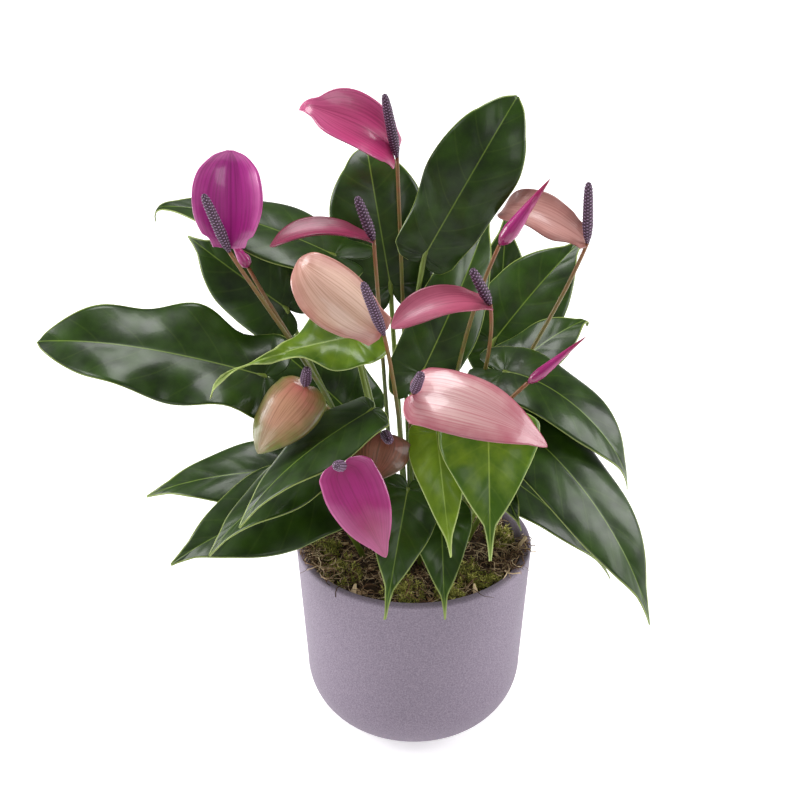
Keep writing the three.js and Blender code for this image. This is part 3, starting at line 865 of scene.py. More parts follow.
class Lay:
    """How a blade lies in the air: its midrib, and where each point beside it is."""

    def __init__(self, blade: Blade) -> None:
        """Runs the midrib and the directions square to it.

        Args:
            blade: the blade.
        """
        self.blade = blade
        joint, tip, faces = (np.array(v, float) for v in (blade.joint, blade.tip, blade.faces))
        reach = np.linalg.norm(tip - joint) / 3
        chord = unit(tip - joint)
        up = unit(faces - chord * (faces @ chord))
        rise, fall = math.radians(blade.rise), math.radians(-blade.fall)
        leave = chord * math.cos(rise) + up * math.sin(rise)
        arrive = chord * math.cos(fall) + up * math.sin(fall)
        fine = bezier([joint, joint + leave * reach, tip - arrive * reach, tip], np.linspace(0, 1, 600))
        self.length = float(np.linalg.norm(np.diff(fine, axis=0), axis=1).sum())
        self.stations = np.linspace(0, 1, blade.STATIONS)
        points = along_path(fine, self.stations)
        along = unit(np.gradient(points, axis=0))
        side = np.broadcast_to(np.cross(up, chord), along.shape)
        normal = unit(np.cross(along, side))
        # The end turns up from where the hook starts.
        turn = ease((self.stations - blade.hook_from) / (1 - blade.hook_from)) * math.radians(blade.hook)
        cos, sin = np.cos(turn)[:, None], np.sin(turn)[:, None]
        along, normal = along * cos + normal * sin, normal * cos - along * sin
        if blade.hook:
            step = self.length / (blade.STATIONS - 1)
            run = np.concatenate([[np.zeros(3)], np.cumsum((along[1:] + along[:-1]) / 2 * step, axis=0)])
            points = points[0] + run
        self.points, self.along, self.side, self.normal = points, along, side, normal

    def at(self, field: Array, shares: Array) -> Array:
        """Reads the midrib's points or directions at shares of its length."""
        return between(self.stations, field, shares)

    def surface(self, x: Array, y: Array, lift: Array) -> Array:
        """Finds points of the blade.

        Args:
            x: how far along the midrib each is, negative in the lobes.
            y: how far to the side each is, measured over the surface.
            lift: how far above the smooth blade each is.

        Returns:
            One point for each.
        """
        blade = self.blade
        shares = np.clip(x / self.length, 0, 1)
        point, along, side, normal = (
            self.at(field, shares) for field in (self.points, self.along, self.side, self.normal)
        )
        back = np.minimum(x, 0)
        depth = max(blade.lobe * self.length, 1e-6)
        rising = (math.radians(blade.lobe_lift) * ease(-back / depth * 2))[:, None]
        point = point + along * (back[:, None] * np.cos(rising)) - normal * (back[:, None] * np.sin(rising))
        normal = normal * np.cos(rising) + along * np.sin(rising)
        start = math.radians(blade.fold)
        bend = math.radians(blade.curl) / (blade.width / 2)
        far = np.abs(y)
        turned = start - bend * far
        if abs(bend) > 1e-9:
            out = (math.sin(start) - np.sin(turned)) / bend
            high = (np.cos(turned) - math.cos(start)) / bend
        else:
            out, high = far * math.cos(start), far * math.sin(start)
        high = high - start * blade.crease * (1 - np.exp(-far / blade.crease))
        sign = np.sign(y)[:, None]
        point = point + side * sign * out[:, None] + normal * high[:, None]
        normal = normal * np.cos(turned)[:, None] - side * sign * np.sin(turned)[:, None]
        return point + normal * lift[:, None]


@dataclass(frozen=True, kw_only=True)
class Stem:
    """A petiole or a stalk, from the crown to a joint."""

    base: Pair
    bow: Pair = (0, 0)
    radius: float
    UPRIGHT = 0.75  # 1 starts a stem straight up, 0 straight towards its end
    START_REACH = 0.4
    END_REACH = 0.3
    STEPS = 32
    SIDES = 12

    def path(self, end: Array, heading: Array | None = None) -> Array:
        """Runs the stem.

        Args:
            end: where it ends.
            heading: the way that it turns to as it ends.

        Returns:
            Evenly spaced points, from the foot up.
        """
        foot = np.array([*self.base, SOIL_TOP - ROOT_DEPTH], float)
        reach = np.linalg.norm(end - foot)
        towards = unit(end - foot)
        start = unit(np.array([0, 0, self.UPRIGHT]) + towards * (1 - self.UPRIGHT))
        aside = np.array([*self.bow, 0], float)
        arrival = towards if heading is None else unit(towards + heading)
        control = [
            foot,
            foot + start * reach * self.START_REACH + aside * 0.5,
            end - arrival * reach * self.END_REACH + aside,
            end,
        ]
        return along_path(bezier(control, np.linspace(0, 1, 300)), np.linspace(0, 1, self.STEPS + 1))

    def stalk(self, name: str, end: Array, heading: Array) -> Piece:
        """Models a flower's or a bud's stalk.

        Args:
            name: the piece's name.
            end: where it ends.
            heading: the way that it turns to as it ends.

        Returns:
            The closed piece.
        """
        path = self.path(end, heading)
        piece = roll(name, path, self.SIDES, lambda turns, along: self.radius * (1.12 - 0.2 * along))
        close_up(piece)
        return piece


# ---------- Leaves ----------


@dataclass(frozen=True, kw_only=True)
class Leaf(Blade):
    """A leaf: a blade on its petiole, grown as one."""

    name: str
    base: Pair
    bow: Pair = (0, 0)
    outline: Outline = Outline.FULL
    lobe: float = 0.17
    fold: float = 14
    curl: float = 34
    lobe_lift: float = 12
    rise: float = 14
    fall: float = 22
    tail: float = 0.06
    thickness: float = 0.55
    veins: int = 10
    quilt: float = 0.27
    wave: float = 2.2
    waves: float = 1.6
    age: LeafAge = LeafAge.MATURE

    PETIOLE_RADIUS = 1.6
    KNEE = 1.9  # the swelling where the petiole meets the blade
    RIB_END = 0.85  # the share of the midrib where the rib under it runs out
    RIB_STEPS = 24

    def petiole(self) -> Piece:
        """Models the petiole, which runs on under the blade as its rib."""
        lay = self.lay()
        stem = Stem(base=self.base, bow=self.bow, radius=self.PETIOLE_RADIUS)
        rising = stem.path(np.array(self.joint, float))
        shares = np.linspace(0, self.RIB_END, self.RIB_STEPS + 1)[1:]
        radii = np.linspace(1.25, 0.15, self.RIB_STEPS)
        under = lay.at(lay.points, shares) - lay.at(lay.normal, shares) * (radii * 0.7)[:, None]
        path = np.concatenate([rising, under])
        knee = np.exp(-(((np.linspace(0, 1, stem.STEPS + 1) - 0.97) / 0.035) ** 2))
        full = self.PETIOLE_RADIUS * np.linspace(1.25, 0.85, stem.STEPS + 1)
        girth = np.concatenate([full + (self.KNEE - self.PETIOLE_RADIUS) * knee, radii])
        piece = roll(
            f"{self.name}_petiole",
            path,
            stem.SIDES,
            lambda turns, along: girth[np.rint(along * (len(girth) - 1)).astype(int)],
        )
        close_up(piece)
        return piece

    def build(self, palette: Palette) -> Piece:
        """Models and dresses the leaf.

        Args:
            palette: the finishes.

        Returns:
            The finished piece.
        """
        blade = self.sheet(self.name)
        for finish in palette.leaf[self.age]:
            blade.data.materials.append(finish)
        petiole = self.petiole()
        petiole.data.materials.append(palette.petiole)
        return join(blade, petiole)


LEAVES = [
    Leaf(name="leaf_left_broad", base=(-21, 2), bow=(6, 6), joint=(-85, -15, 240), tip=(-214, -2, 255),
         faces=(0, -0.5, 0.9), width=62, lobe=0.1, tail=0, wave=8, waves=2.2, phase=-0.3, curl=24,
         outline=Outline.BLUNT),
    Leaf(name="leaf_left_upper", base=(-9, 14), joint=(-46, 30, 294), tip=(-157, 60, 310),
         faces=(0, -0.1, 1), width=56, hook=-80, hook_from=0.86),
    Leaf(name="leaf_left_rear", base=(-17, 10), joint=(-74, 32, 259), tip=(-132, 62, 291),
         faces=(-0.2, -0.9, 0.5), width=48),
    Leaf(name="leaf_rear_upright", base=(-5, 22), joint=(-14, 56, 262), tip=(-28, 92, 335),
         faces=(0, -1, 0.5), width=58, fall=45, outline=Outline.ROUND),
    Leaf(name="leaf_top", base=(5, 18), bow=(-12, 0), joint=(6, 44, 287), tip=(58, 60, 379),
         faces=(0, -0.9, 0.5), width=50, lobe=0.06, fall=35, wave=3, waves=2.2, outline=Outline.PADDLE),
    Leaf(name="leaf_centre_tall", base=(4, 8), joint=(4, 4, 231), tip=(45, 98, 293),
         faces=(0.2, -0.9, 0.4), width=42),
    Leaf(name="leaf_right_rear", base=(10, 25), joint=(51, 90, 201), tip=(57, 130, 276),
         faces=(0, -0.9, 0.4), width=40),
    Leaf(name="leaf_right_upright", base=(15, 16), joint=(48, 65, 220), tip=(104, 110, 267),
         faces=(-0.2, -0.8, 0.7), width=53),
    Leaf(name="leaf_right_curled", base=(18, 11), bow=(0, 6), joint=(56, 32, 218), tip=(107, 68, 234),
         faces=(0, -0.3, 1), width=38, lobe=0.1, hook=-80, hook_from=0.86),
    Leaf(name="leaf_right_arching", base=(14, -2), joint=(51, -10, 240), tip=(122, -30, 174),
         faces=(0.6, -0.4, 0.7), width=48, rise=50, fall=48),
    Leaf(name="leaf_right_drooping", base=(23, -5), joint=(62, -35, 216), tip=(134, -75, 111),
         faces=(0.5, -0.5, 0.6), width=54, lobe=0.07, rise=30, fall=28),
    Leaf(name="leaf_right_low", base=(26, 4), joint=(54, 5, 162), tip=(116, -22, 107),
         faces=(0.3, -0.2, 0.9), width=50, outline=Outline.TAPERING),
    Leaf(name="leaf_front_bright_left", base=(3, -19), bow=(0, 10), joint=(12, -47, 222), tip=(20, -78, 159),
         faces=(0, -0.8, 0.5), width=34, lobe=0.1, outline=Outline.TAPERING, tone=0.15,
         age=LeafAge.YOUNG),
    Leaf(name="leaf_front_bright_right", base=(11, -15), joint=(40, -62, 235), tip=(41, -100, 171),
         faces=(0, -0.8, 0.5), width=56, lobe=0.1, outline=Outline.TAPERING, tail=0.16, tone=-0.14,
         age=LeafAge.YOUNG),
    Leaf(name="leaf_front_hanging_left", base=(-4, -26), joint=(-4, -46, 184), tip=(-17, -84, 121),
         faces=(0, -0.8, 0.6), width=44, lobe=0.1, outline=Outline.TAPERING, tail=0.14, wave=3.5, waves=2.5,
         tone=0.22),
    Leaf(name="leaf_front_hanging_right", base=(8, -26), joint=(15, -50, 169), tip=(17, -84, 121),
         faces=(0, -0.8, 0.6), width=34, outline=Outline.TAPERING, tail=0.12, tone=0.25),
    Leaf(name="leaf_left_front", base=(-10, -13), joint=(-24, -45, 235), tip=(-97, -82, 181),
         faces=(-0.4, -0.1, 0.9), width=50, lobe=0.04, fold=6, curl=18),
    Leaf(name="leaf_left_under", base=(-18, -14), bow=(8, 0), joint=(-51, -33, 194), tip=(-116, -66, 152),
         faces=(-0.3, -0.1, 0.9), width=46, lobe=0.1),
    Leaf(name="leaf_left_low", base=(-25, -10), joint=(-53, -20, 166), tip=(-141, -42, 130),
         faces=(-0.1, -0.5, 0.9), width=58, lobe=0.12),
    Leaf(name="leaf_left_far_low", base=(-27, 4), joint=(-67, 15, 160), tip=(-160, 15, 141),
         faces=(-0.1, -0.4, 1), width=46),
    Leaf(name="leaf_inner_dark", base=(-15, 16), joint=(-38, 38, 186), tip=(-97, 72, 223),
         faces=(0, -0.6, 0.8), width=56),
    Leaf(name="leaf_young_long_tip", base=(-9, -7), bow=(0, 8), joint=(-34, -30, 273), tip=(-121, -55, 252),
         faces=(0, -0.4, 1), width=44, tail=0.42, hook=-55, hook_from=0.7, wave=4.5, waves=3, tone=-0.05,
         outline=Outline.TAPERING, age=LeafAge.YOUNG),
    Leaf(name="leaf_right_inner", base=(22, 5), joint=(51, 22, 209), tip=(79, 6, 177),
         faces=(0.3, -0.5, 0.7), width=30, lobe=0.08),
    Leaf(name="leaf_front_small", base=(15, -22), joint=(44, -38, 191), tip=(60, -60, 165),
         faces=(0.2, -0.6, 0.7), width=20, outline=Outline.TAPERING),
]  # fmt: skip


# ---------- Flowers and buds ----------


@dataclass(frozen=True, kw_only=True)
class Flower(Blade):
    """A flower: joint is where its stalk, spathe and spadix meet, and spadix where the spadix ends. The
    blade's sizes are the spathe's."""

    name: str
    base: Pair
    bow: Pair = (0, 0)
    spadix: Triple
    bloom: Bloom
    outline: Outline = Outline.SPOON
    lobe: float = 0.05
    fold: float = 16
    curl: float = -20
    lobe_lift: float = 4
    rise: float = 10
    fall: float = 15
    tail: float = 0
    crease: float = 5
    thickness: float = 0.7
    veins: int = 8
    quilt: float = 0.06
    wave: float = 0.4

    GAP = 0.3
    SPADIX_RADIUS = 3.0
    SPADIX_SIDES = 60
    FLORET_STEP = 0.3  # mm between the rows that draw the florets
    FLORET_HEIGHT = 0.3

    def axis(self) -> tuple[Array, float]:
        """Gives the spadix's direction and length."""
        run = np.array(self.spadix, float) - np.array(self.joint, float)
        return unit(run), float(np.linalg.norm(run))

    def spathe(self) -> Piece:
        """Models the spathe, whose notch straddles the stalk."""
        joint, tip = np.array(self.joint, float), np.array(self.tip, float)
        notch = tuple(joint + unit(tip - joint) * COLLAR)
        return replace(self, joint=notch).sheet(f"spathe_{self.name}")

    def stalk(self) -> Piece:
        """Models the stalk, which turns towards the spadix as it ends."""
        direction, _ = self.axis()
        end = np.array(self.joint, float) - direction * self.GAP
        stem = Stem(base=self.base, bow=self.bow, radius=STALK_RADIUS)
        return stem.stalk(f"stalk_{self.name}", end, direction)

    def spadix_piece(self) -> Piece:
        """Models the spadix: a neck, a body crowded with florets in crossing spirals, and a rounded end."""
        direction, long = self.axis()
        start = np.array(self.joint, float) + direction * self.GAP
        end = np.array(self.spadix, float)
        rows = int(long / self.FLORET_STEP)
        path = start + (end - start) * np.linspace(0, 1, rows + 1)[:, None]
        places = np.array([0, 0.04, 0.1, 0.3, 0.75, 0.9, 0.97, 1.0])
        girths = np.array([0.41, 0.5, 0.75, 1.0, 0.86, 0.72, 0.46, 0.0])

        def floret(turns: Array, along: Array) -> Array:
            """How near each point is to a floret's middle, from 0 to 1."""
            left = np.cos(TURN * (6 * turns + 0.42 * along * long))
            right = np.cos(TURN * (-5 * turns + 0.42 * along * long))
            return (left + right + 2) / 4

        def radius(turns: Array, along: Array) -> Array:
            """The spadix's radius, florets included."""
            body = np.interp(along, places, girths) * self.SPADIX_RADIUS
            grown = np.clip((along - 0.06) * 12, 0, 1) * np.clip((1 - along) * 25, 0, 1)
            return body + (floret(turns, along) - 0.5) * self.FLORET_HEIGHT * 2 * grown

        piece = roll(f"spadix_{self.name}", path, self.SPADIX_SIDES, radius)
        count = self.SPADIX_SIDES + 1
        flat_turns = np.tile(np.linspace(0, 1, count), rows + 1)
        flat_along = np.repeat(np.linspace(0, 1, rows + 1), count)
        store(piece, "floret", floret(flat_turns, flat_along))
        close_up(piece)
        return piece

    def build(self, palette: Palette) -> dict[str, Piece]:
        """Models and dresses the flower.

        Args:
            palette: the finishes.

        Returns:
            The three pieces, by the record's slots.
        """
        spathe, stalk, spadix = self.spathe(), self.stalk(), self.spadix_piece()
        spathe.data.materials.append(palette.spathes[self.bloom])
        stalk.data.materials.append(palette.stalk)
        spadix.data.materials.append(palette.spadix)
        return {self.bloom.value[0]: spathe, "stalk": stalk, "spadix": spadix}


FLOWERS = [
    Flower(name="top", base=(-1, 14), bow=(-4, -6), joint=(-10, 60, 342), tip=(-67, 52, 379),
           spadix=(-17, 36, 390), faces=(-0.1, -0.55, 0.8), width=38, rise=42, fall=20, tail=0.06, hook=-75,
           hook_from=0.82, outline=Outline.BEAKED, bloom=Bloom.CRIMSON),
    Flower(name="left", base=(-16, -2), bow=(9, 2), joint=(-102, -15, 318), tip=(-100, 2, 371),
           spadix=(-113, -34, 361), faces=(-0.1, -1, 0.3), width=43, lobe=0.02, hook=30, outline=Outline.EGG,
           bloom=Bloom.PURPLE),
    Flower(name="left_arching", base=(-9, 3), bow=(-8, 0), joint=(-23, 2, 317), tip=(-80, -7, 317),
           spadix=(-32, -4, 346), faces=(0, 0, 1), width=26, rise=28, fall=30, bloom=Bloom.WINE),
    Flower(name="peach", base=(-3, -9), joint=(-17, -50, 285), tip=(-65, -30, 321),
           spadix=(-28, -71, 327), faces=(-0.3, -1, 0.4), width=39, lobe=0.04, hook=-30,
           bloom=Bloom.PEACH),
    Flower(name="centre_arching", base=(8, -6), joint=(42, -12, 284), tip=(-13, -37, 282),
           spadix=(31, -18, 309), faces=(0, -0.3, 1), width=27, rise=32, fall=35, bloom=Bloom.MAUVE),
    Flower(name="right_rear", base=(19, -3), bow=(-12, -6), joint=(97, 15, 309), tip=(50, 48, 313),
           spadix=(95, 2, 352), faces=(0, -0.6, 0.8), width=28, rise=45, fall=65, wave=2.0,
           bloom=Bloom.DUSTY),
    Flower(name="left_low", base=(-14, -9), bow=(20, 6), joint=(-61, -36, 246), tip=(-87, -57, 214),
           spadix=(-59, -52, 265), faces=(-0.4, -0.6, 0.6), width=40, curl=50, lobe=0.12, lobe_lift=-15,
           outline=Outline.HEART, bloom=Bloom.GREENING),
    Flower(name="front_pink", base=(0, -13), bow=(0, 25), joint=(-1, -75, 263), tip=(71, -85, 235),
           spadix=(3, -92, 284), faces=(0.2, -0.55, 0.85), width=40, lobe=0.08, lobe_lift=8, curl=36,
           rise=36, fall=30, tail=0.05, outline=Outline.HEART, bloom=Bloom.PINK),
    Flower(name="inner_brown", base=(-5, -20), bow=(0, 10), joint=(-17, -46, 221), tip=(-24, -60, 198),
           spadix=(-14, -64, 226), faces=(-0.1, -0.9, 0.5), width=35, curl=34, lobe=0.12, lobe_lift=-10,
           outline=Outline.HEART, bloom=Bloom.BROWN),
    Flower(name="front_magenta", base=(-12, -22), bow=(-6, 0), joint=(-39, -92, 227), tip=(-16, -102, 175),
           spadix=(-42, -118, 243), faces=(0, -1, 0.4), width=34, curl=30, lobe=0.1, lobe_lift=0,
           tail=0.06, outline=Outline.HEART, bloom=Bloom.MAGENTA),
]  # fmt: skip


@dataclass(frozen=True, kw_only=True)
class Bud:
    """A spathe still rolled round its spadix, on its stalk: it grew as one piece."""

    name: str
    base: Pair
    bow: Pair = (0, 0)
    joint: Triple
    tip: Triple
    radius: float

    STEPS = 40
    SIDES = 40
    INSIDE = 20.0  # mm from the margin, so that its colour stays away

    def build(self, palette: Palette) -> Piece:
        """Models and dresses the bud.

        Args:
            palette: the finishes.

        Returns:
            The finished piece.
        """
        start, end = np.array(self.joint, float), np.array(self.tip, float)
        direction = unit(end - start)
        stem = Stem(base=self.base, bow=self.bow, radius=STALK_RADIUS)
        stalk = stem.stalk(f"{self.name}_stalk", start, direction)
        stalk.data.materials.append(palette.stalk)
        places = np.array([0, 0.03, 0.1, 0.22, 0.45, 0.75, 0.93, 1.0])
        girths = np.array([0.0, 0.45, 0.85, 1.0, 0.72, 0.36, 0.14, 0.0])

        def radius(turns: Array, along: Array) -> Array:
            """The rolled spathe's radius, with the step where its outer edge laps over."""
            lap = (turns + 1.1 * along) % 1.0
            step = 0.2 * lap * np.clip((1 - lap) * 12, 0, 1)
            return np.interp(along, places, girths) * self.radius * (0.94 + step)

        path = start + (end - start) * np.linspace(0, 1, self.STEPS + 1)[:, None]
        rolled = roll(self.name, path, self.SIDES, radius)
        store(rolled, "margin", np.full(len(rolled.data.vertices), self.INSIDE))
        close_up(rolled)
        rolled.data.materials.append(palette.spathes[Bloom.MAGENTA])
        return join(rolled, stalk)


BUDS = [
    Bud(name="bud_left", base=(-14, 5), bow=(0, 5), joint=(-94, 14, 294), tip=(-104, 16, 313), radius=3.6),
    Bud(name="bud_right", base=(12, 3), joint=(47, 5, 312), tip=(75, 12, 350), radius=4.6),
    Bud(name="bud_far_right", base=(18, -12), bow=(-16, -4), joint=(62, -45, 252), tip=(94, -42, 280),
        radius=3.1),
]  # fmt: skip


# ---------- The pot and what fills it ----------


@dataclass(frozen=True)
class Pot:
    """A stoneware cover pot with a straight wall that leans out, a round bottom corner and a soft lip."""

    height: float = POT_HEIGHT
    rim_radius: float = 70
    taper: float = 0.067
    wall: float = 5.5
    floor: float = 8
    foot_radius: float = 28
    corner_height: float = 39
    lip_round: float = 2.2
    segments: int = 160

    OUTER_STEPS = 16
    INNER_STEPS = 12
    LIP_STEPS = 6

    def outer(self, z: float) -> float:
        """The outer wall's radius at a height."""
        return self.rim_radius - (self.height - z) * self.taper

    def inner(self, z: float) -> float:
        """The inner wall's radius at a height."""
        return self.outer(z) - self.wall

    def corner(self, across: float, down: float, steps: int) -> list[Pair]:
        """The round bottom corner's points.

        Args:
            across: how far it reaches out from the foot's radius.
            down: how far it reaches down from its top.
            steps: how many stretches it has.

        Returns:
            Radius and height, from the foot out and up.
        """
        angles = [math.pi / 2 * (1 - k / steps) for k in range(steps + 1)]
        return [
            (self.foot_radius + across * math.cos(a), self.corner_height - down * math.sin(a)) for a in angles
        ]

    def lip(self, steps: int) -> list[Pair]:
        """Rounds both edges of the lip.

        Args:
            steps: how many stretches each edge has.

        Returns:
            Radius and height, from the outer wall over to the inner one.
        """
        r, top = self.lip_round, self.height
        out_edge = (self.outer(top) - r, top - r)
        in_edge = (self.inner(top) + r, top - r)
        angles = [math.pi / 2 * k / steps for k in range(steps + 1)]
        outside = [(out_edge[0] + r * math.cos(a), out_edge[1] + r * math.sin(a)) for a in angles]
        inside = [(in_edge[0] - r * math.sin(a), in_edge[1] + r * math.cos(a)) for a in angles]
        return outside + inside

    def profile(self) -> list[Pair]:
        """The whole section's points, from the foot up the outside, over the lip and down to the floor."""
        z = self.corner_height
        outside = self.corner(self.outer(z) - self.foot_radius, z, self.OUTER_STEPS)
        inside = self.corner(self.inner(z) - self.foot_radius, z - self.floor, self.INNER_STEPS)
        return outside + self.lip(self.LIP_STEPS) + inside[::-1]

    def build(self, palette: Palette) -> Piece:
        """Models and dresses the pot.

        Args:
            palette: the finishes.

        Returns:
            The finished piece.
        """
        piece = ring_up("pot", self.profile(), self.segments)
        piece.data.materials.append(palette.pot)
        return piece


def lift_off(piece: Piece) -> Scrap:
    """Takes a small shape and deletes its object.

    Args:
        piece: the object.

    Returns:
        Its vertices, in millimetres, and its faces.
    """
    points = read_points(piece) / MM
    faces = [tuple(polygon.vertices) for polygon in piece.data.polygons]
    bpy.data.objects.remove(piece)
    return points, faces


def turned(spin: Array, tilt: Array) -> Array:
    """Turns about the vertical after a tilt.

    Args:
        spin: each turn's angle, in radians.
        tilt: how far each tilts down first, in radians.

    Returns:
        One 3 by 3 matrix each.
    """
    one, nil = np.ones(len(spin)), np.zeros(len(spin))
    cs, sn, ct, st = np.cos(spin), np.sin(spin), np.cos(tilt), np.sin(tilt)
    about_z = np.array([[cs, -sn, nil], [sn, cs, nil], [nil, nil, one]]).transpose(2, 0, 1)
    about_y = np.array([[ct, nil, st], [nil, one, nil], [-st, nil, ct]]).transpose(2, 0, 1)
    return about_z @ about_y


def turned_frames(rng: np.random.Generator, count: int, most_tilt: float) -> Array:
    """Draws random turns about the vertical, each tilted a little.

    Args:
        rng: the source of random numbers.
        count: how many.
        most_tilt: the most that one tilts, in degrees.

    Returns:
        One 3 by 3 matrix each.
    """
    spin = rng.uniform(0, TURN, count)
    return turned(spin, np.radians(rng.uniform(-most_tilt, most_tilt, count)))


def scatter(
    name: str, scraps: list[Scrap], places: Array, frames: Array, sizes: Array, shades: Array
) -> Piece:
    """Strews copies of small shapes as one piece, each with its own vertices.

    Args:
        name: the piece's name.
        scraps: the shapes, which take turns.
        places: where each copy lies, in millimetres.
        frames: each copy's turn, as a 3 by 3 matrix.
        sizes: each copy's size.
        shades: each copy's shade, for the finish.

    Returns:
        The piece.
    """
    points, faces, tones = [], [], []
    start = 0
    for k, (place, turn, size, shade) in enumerate(zip(places, frames, sizes, shades)):
        shape, sides = scraps[k % len(scraps)]
        points.append(shape * size @ turn.T + place)
        faces += [tuple(start + v for v in side) for side in sides]
        tones.append(np.full(len(shape), shade))
        start += len(shape)
    mesh = bpy.data.meshes.new(name + ENDING)
    mesh.from_pydata(np.concatenate(points) * MM, [], faces)
    piece = bpy.data.objects.new(name + ENDING, mesh)
    bpy.context.scene.collection.objects.link(piece)
    store(piece, "shade", np.concatenate(tones))
    smooth(piece)
    return piece


@dataclass(frozen=True)
class TopDressing:
    """What lies on the soil: a bed of litter, dry fibres, moss in clumps, and bits of bark."""

    radius: float = 62.5
    edge_height: float = 113.0
    crown: float = 4.0  # how much higher the middle stands
    lump: float = 2.2
    bed_quads: int = 110
    bed_depth: float = 2.4
    fibres: int = 1300
    rim_fibres: int = 26  # in each tuft that lies over the rim
    sprigs: int = 1100
    chips: int = 80
    seed: int = 11
    clumps: tuple[tuple[float, float, float], ...] = (
        (-44, -30, 15), (-52, -6, 9), (-6, -50, 13), (27, -30, 13), (44, -38, 10),
        (20, -52, 8), (-30, 40, 16), (30, 42, 15), (52, 8, 10),
    )  # fmt: skip
    # Each tuft over the rim, by its place round the pot, in degrees.
    tufts: tuple[float, ...] = (-168, -158, -146, -32, -20, -8)
    # Twigs and chips that lie out on the rim: place, heading and tilt in degrees, size and shade.
    twigs: tuple[tuple[float, ...], ...] = (
        (-38, -57, 120.8, 35, 4, 1.1, 0.1), (39, -57, 120.8, -35, 4, 1.1, 0.1),
        (-62, -34, 121.2, 200, 8, 0.8, 0.25), (62, -34, 121.2, -20, 8, 0.8, 0.25),
    )  # fmt: skip
    slivers: tuple[tuple[float, ...], ...] = (
        (-35, -49, 117.5, 70, -50, 1.5, 1.0), (35, -49, 117.5, 110, -50, 1.5, 1.0),
        (64, -8, 123.5, -20, -60, 2.1, 0.95),
    )  # fmt: skip

    def height(self, x: Array, y: Array) -> Array:
        """Works out how high the bed stands.

        Args:
            x: each place's x.
            y: each place's y.

        Returns:
            The height at each place.
        """
        share = np.clip(np.hypot(x, y) / self.radius, 0, 1)
        ripples = (
            np.sin(x * 0.21 + 1.3 * np.sin(y * 0.13)) * np.cos(y * 0.19 + 0.8)
            + 0.6 * np.sin(x * 0.47 + y * 0.29) * np.cos(y * 0.41 - x * 0.17)
            + 0.35 * np.sin(x * 0.9 - y * 0.4) * np.cos(y * 1.1 + x * 0.3)
        )
        hills = sum(
            2.2 * np.exp(-((x - cx) ** 2 + (y - cy) ** 2) / (0.6 * size) ** 2) for cx, cy, size in self.clumps
        )
        return self.edge_height + self.crown * (1 - share**2) + self.lump * 0.5 * ripples + hills

    def bed(self) -> Piece:
        """Models the bed, a lumpy sheet with some depth."""
        piece = add_grid("moss", self.bed_quads, self.bed_quads)
        flat = read_points(piece) * 2
        u, v = flat[:, 0], flat[:, 1]
        # A square grid is drawn in to a disc.
        x = u * np.sqrt(1 - v**2 / 2) * self.radius
        y = v * np.sqrt(1 - u**2 / 2) * self.radius
        rng = np.random.default_rng(self.seed)
        rough = rng.uniform(-0.45, 0.45, len(x))
        write_points(piece, np.stack([x, y, self.height(x, y) + rough - 1.2], axis=1))
        store(piece, "shade", rng.uniform(0.0, 0.5, len(x)))
        modify(piece, "SOLIDIFY", thickness=self.bed_depth * MM, offset=-1.0)
        smooth(piece)
        return piece

    def strand(self, seed: int, long: float, girth: float) -> Scrap:
        """Models one curly strand.

        Args:
            seed: which curl it has.
            long: its length.
            girth: its radius.

        Returns:
            Its vertices and faces.
        """
        rng = np.random.default_rng(seed)
        t = np.linspace(0, 1, 8)
        sway = rng.uniform(-0.35, 0.35, 3) * long
        path = np.stack(
            [
                (t - 0.5) * long,
                sway[0] * np.sin(t * 3.0 + sway[1]) + sway[2] * np.sin(t * 6) * 0.4,
                0.22 * long * np.sin(t * math.pi) * rng.uniform(0.3, 1.0) + 0.6 * np.sin(t * 9 + seed),
            ],
            axis=1,
        )
        piece = roll("strand", path, 4, lambda turns, along: girth * (1.05 - 0.7 * along))
        close_up(piece)
        return lift_off(piece)

    def sprig(self, seed: int) -> Scrap:
        """Models one sprig of moss: pointed leaflets all round a short stem.

        Args:
            seed: which sprig.

        Returns:
            Its vertices and faces.
        """
        rng = np.random.default_rng(seed)
        shapes: list[Scrap] = []
        spike = np.array(
            [[0, 0, 0], [0.42, 0.28, 0.12], [0.42, -0.28, 0.12], [0.4, 0, -0.08], [1.5, 0, 0.5]], float
        )
        sides = [(0, 2, 1), (0, 1, 3), (0, 3, 2), (1, 2, 4), (1, 4, 3), (2, 3, 4)]
        for k in range(9):
            angle, lean = k * 2.4, rng.uniform(-0.2, 0.7)
            c, s = math.cos(angle), math.sin(angle)
            turn = np.array([[c, -s, 0], [s, c, 0], [0, 0, 1]])
            c, s = math.cos(lean), math.sin(lean)
            tip = np.array([[c, 0, -s], [0, 1, 0], [s, 0, c]])
            shapes.append((spike * rng.uniform(0.8, 1.3) @ tip.T @ turn.T + [0, 0, 0.3 * k], sides))
        points = np.concatenate([shape for shape, _ in shapes])
        faces = [tuple(v + 5 * k for v in side) for k, (_, group) in enumerate(shapes) for side in group]
        return points, faces

    def chip(self, seed: int) -> Scrap:
        """Models one split chip of bark, thin and wedge-shaped.

        Args:
            seed: which chip.

        Returns:
            Its vertices and faces.
        """
        rng = np.random.default_rng(seed)
        deselect()
        bpy.ops.mesh.primitive_cube_add(size=MM)
        piece = bpy.context.object
        points = read_points(piece) * [5.0, 2.6, 0.8]
        points[:, 1] *= 1 - 0.8 * (points[:, 0] > 0)
        points += rng.uniform(-0.35, 0.35, points.shape) * MM
        piece.data.vertices.foreach_set("co", points.astype(np.float32).ravel())
        modify(piece, "BEVEL", width=0.2 * MM, segments=1)
        return lift_off(piece)

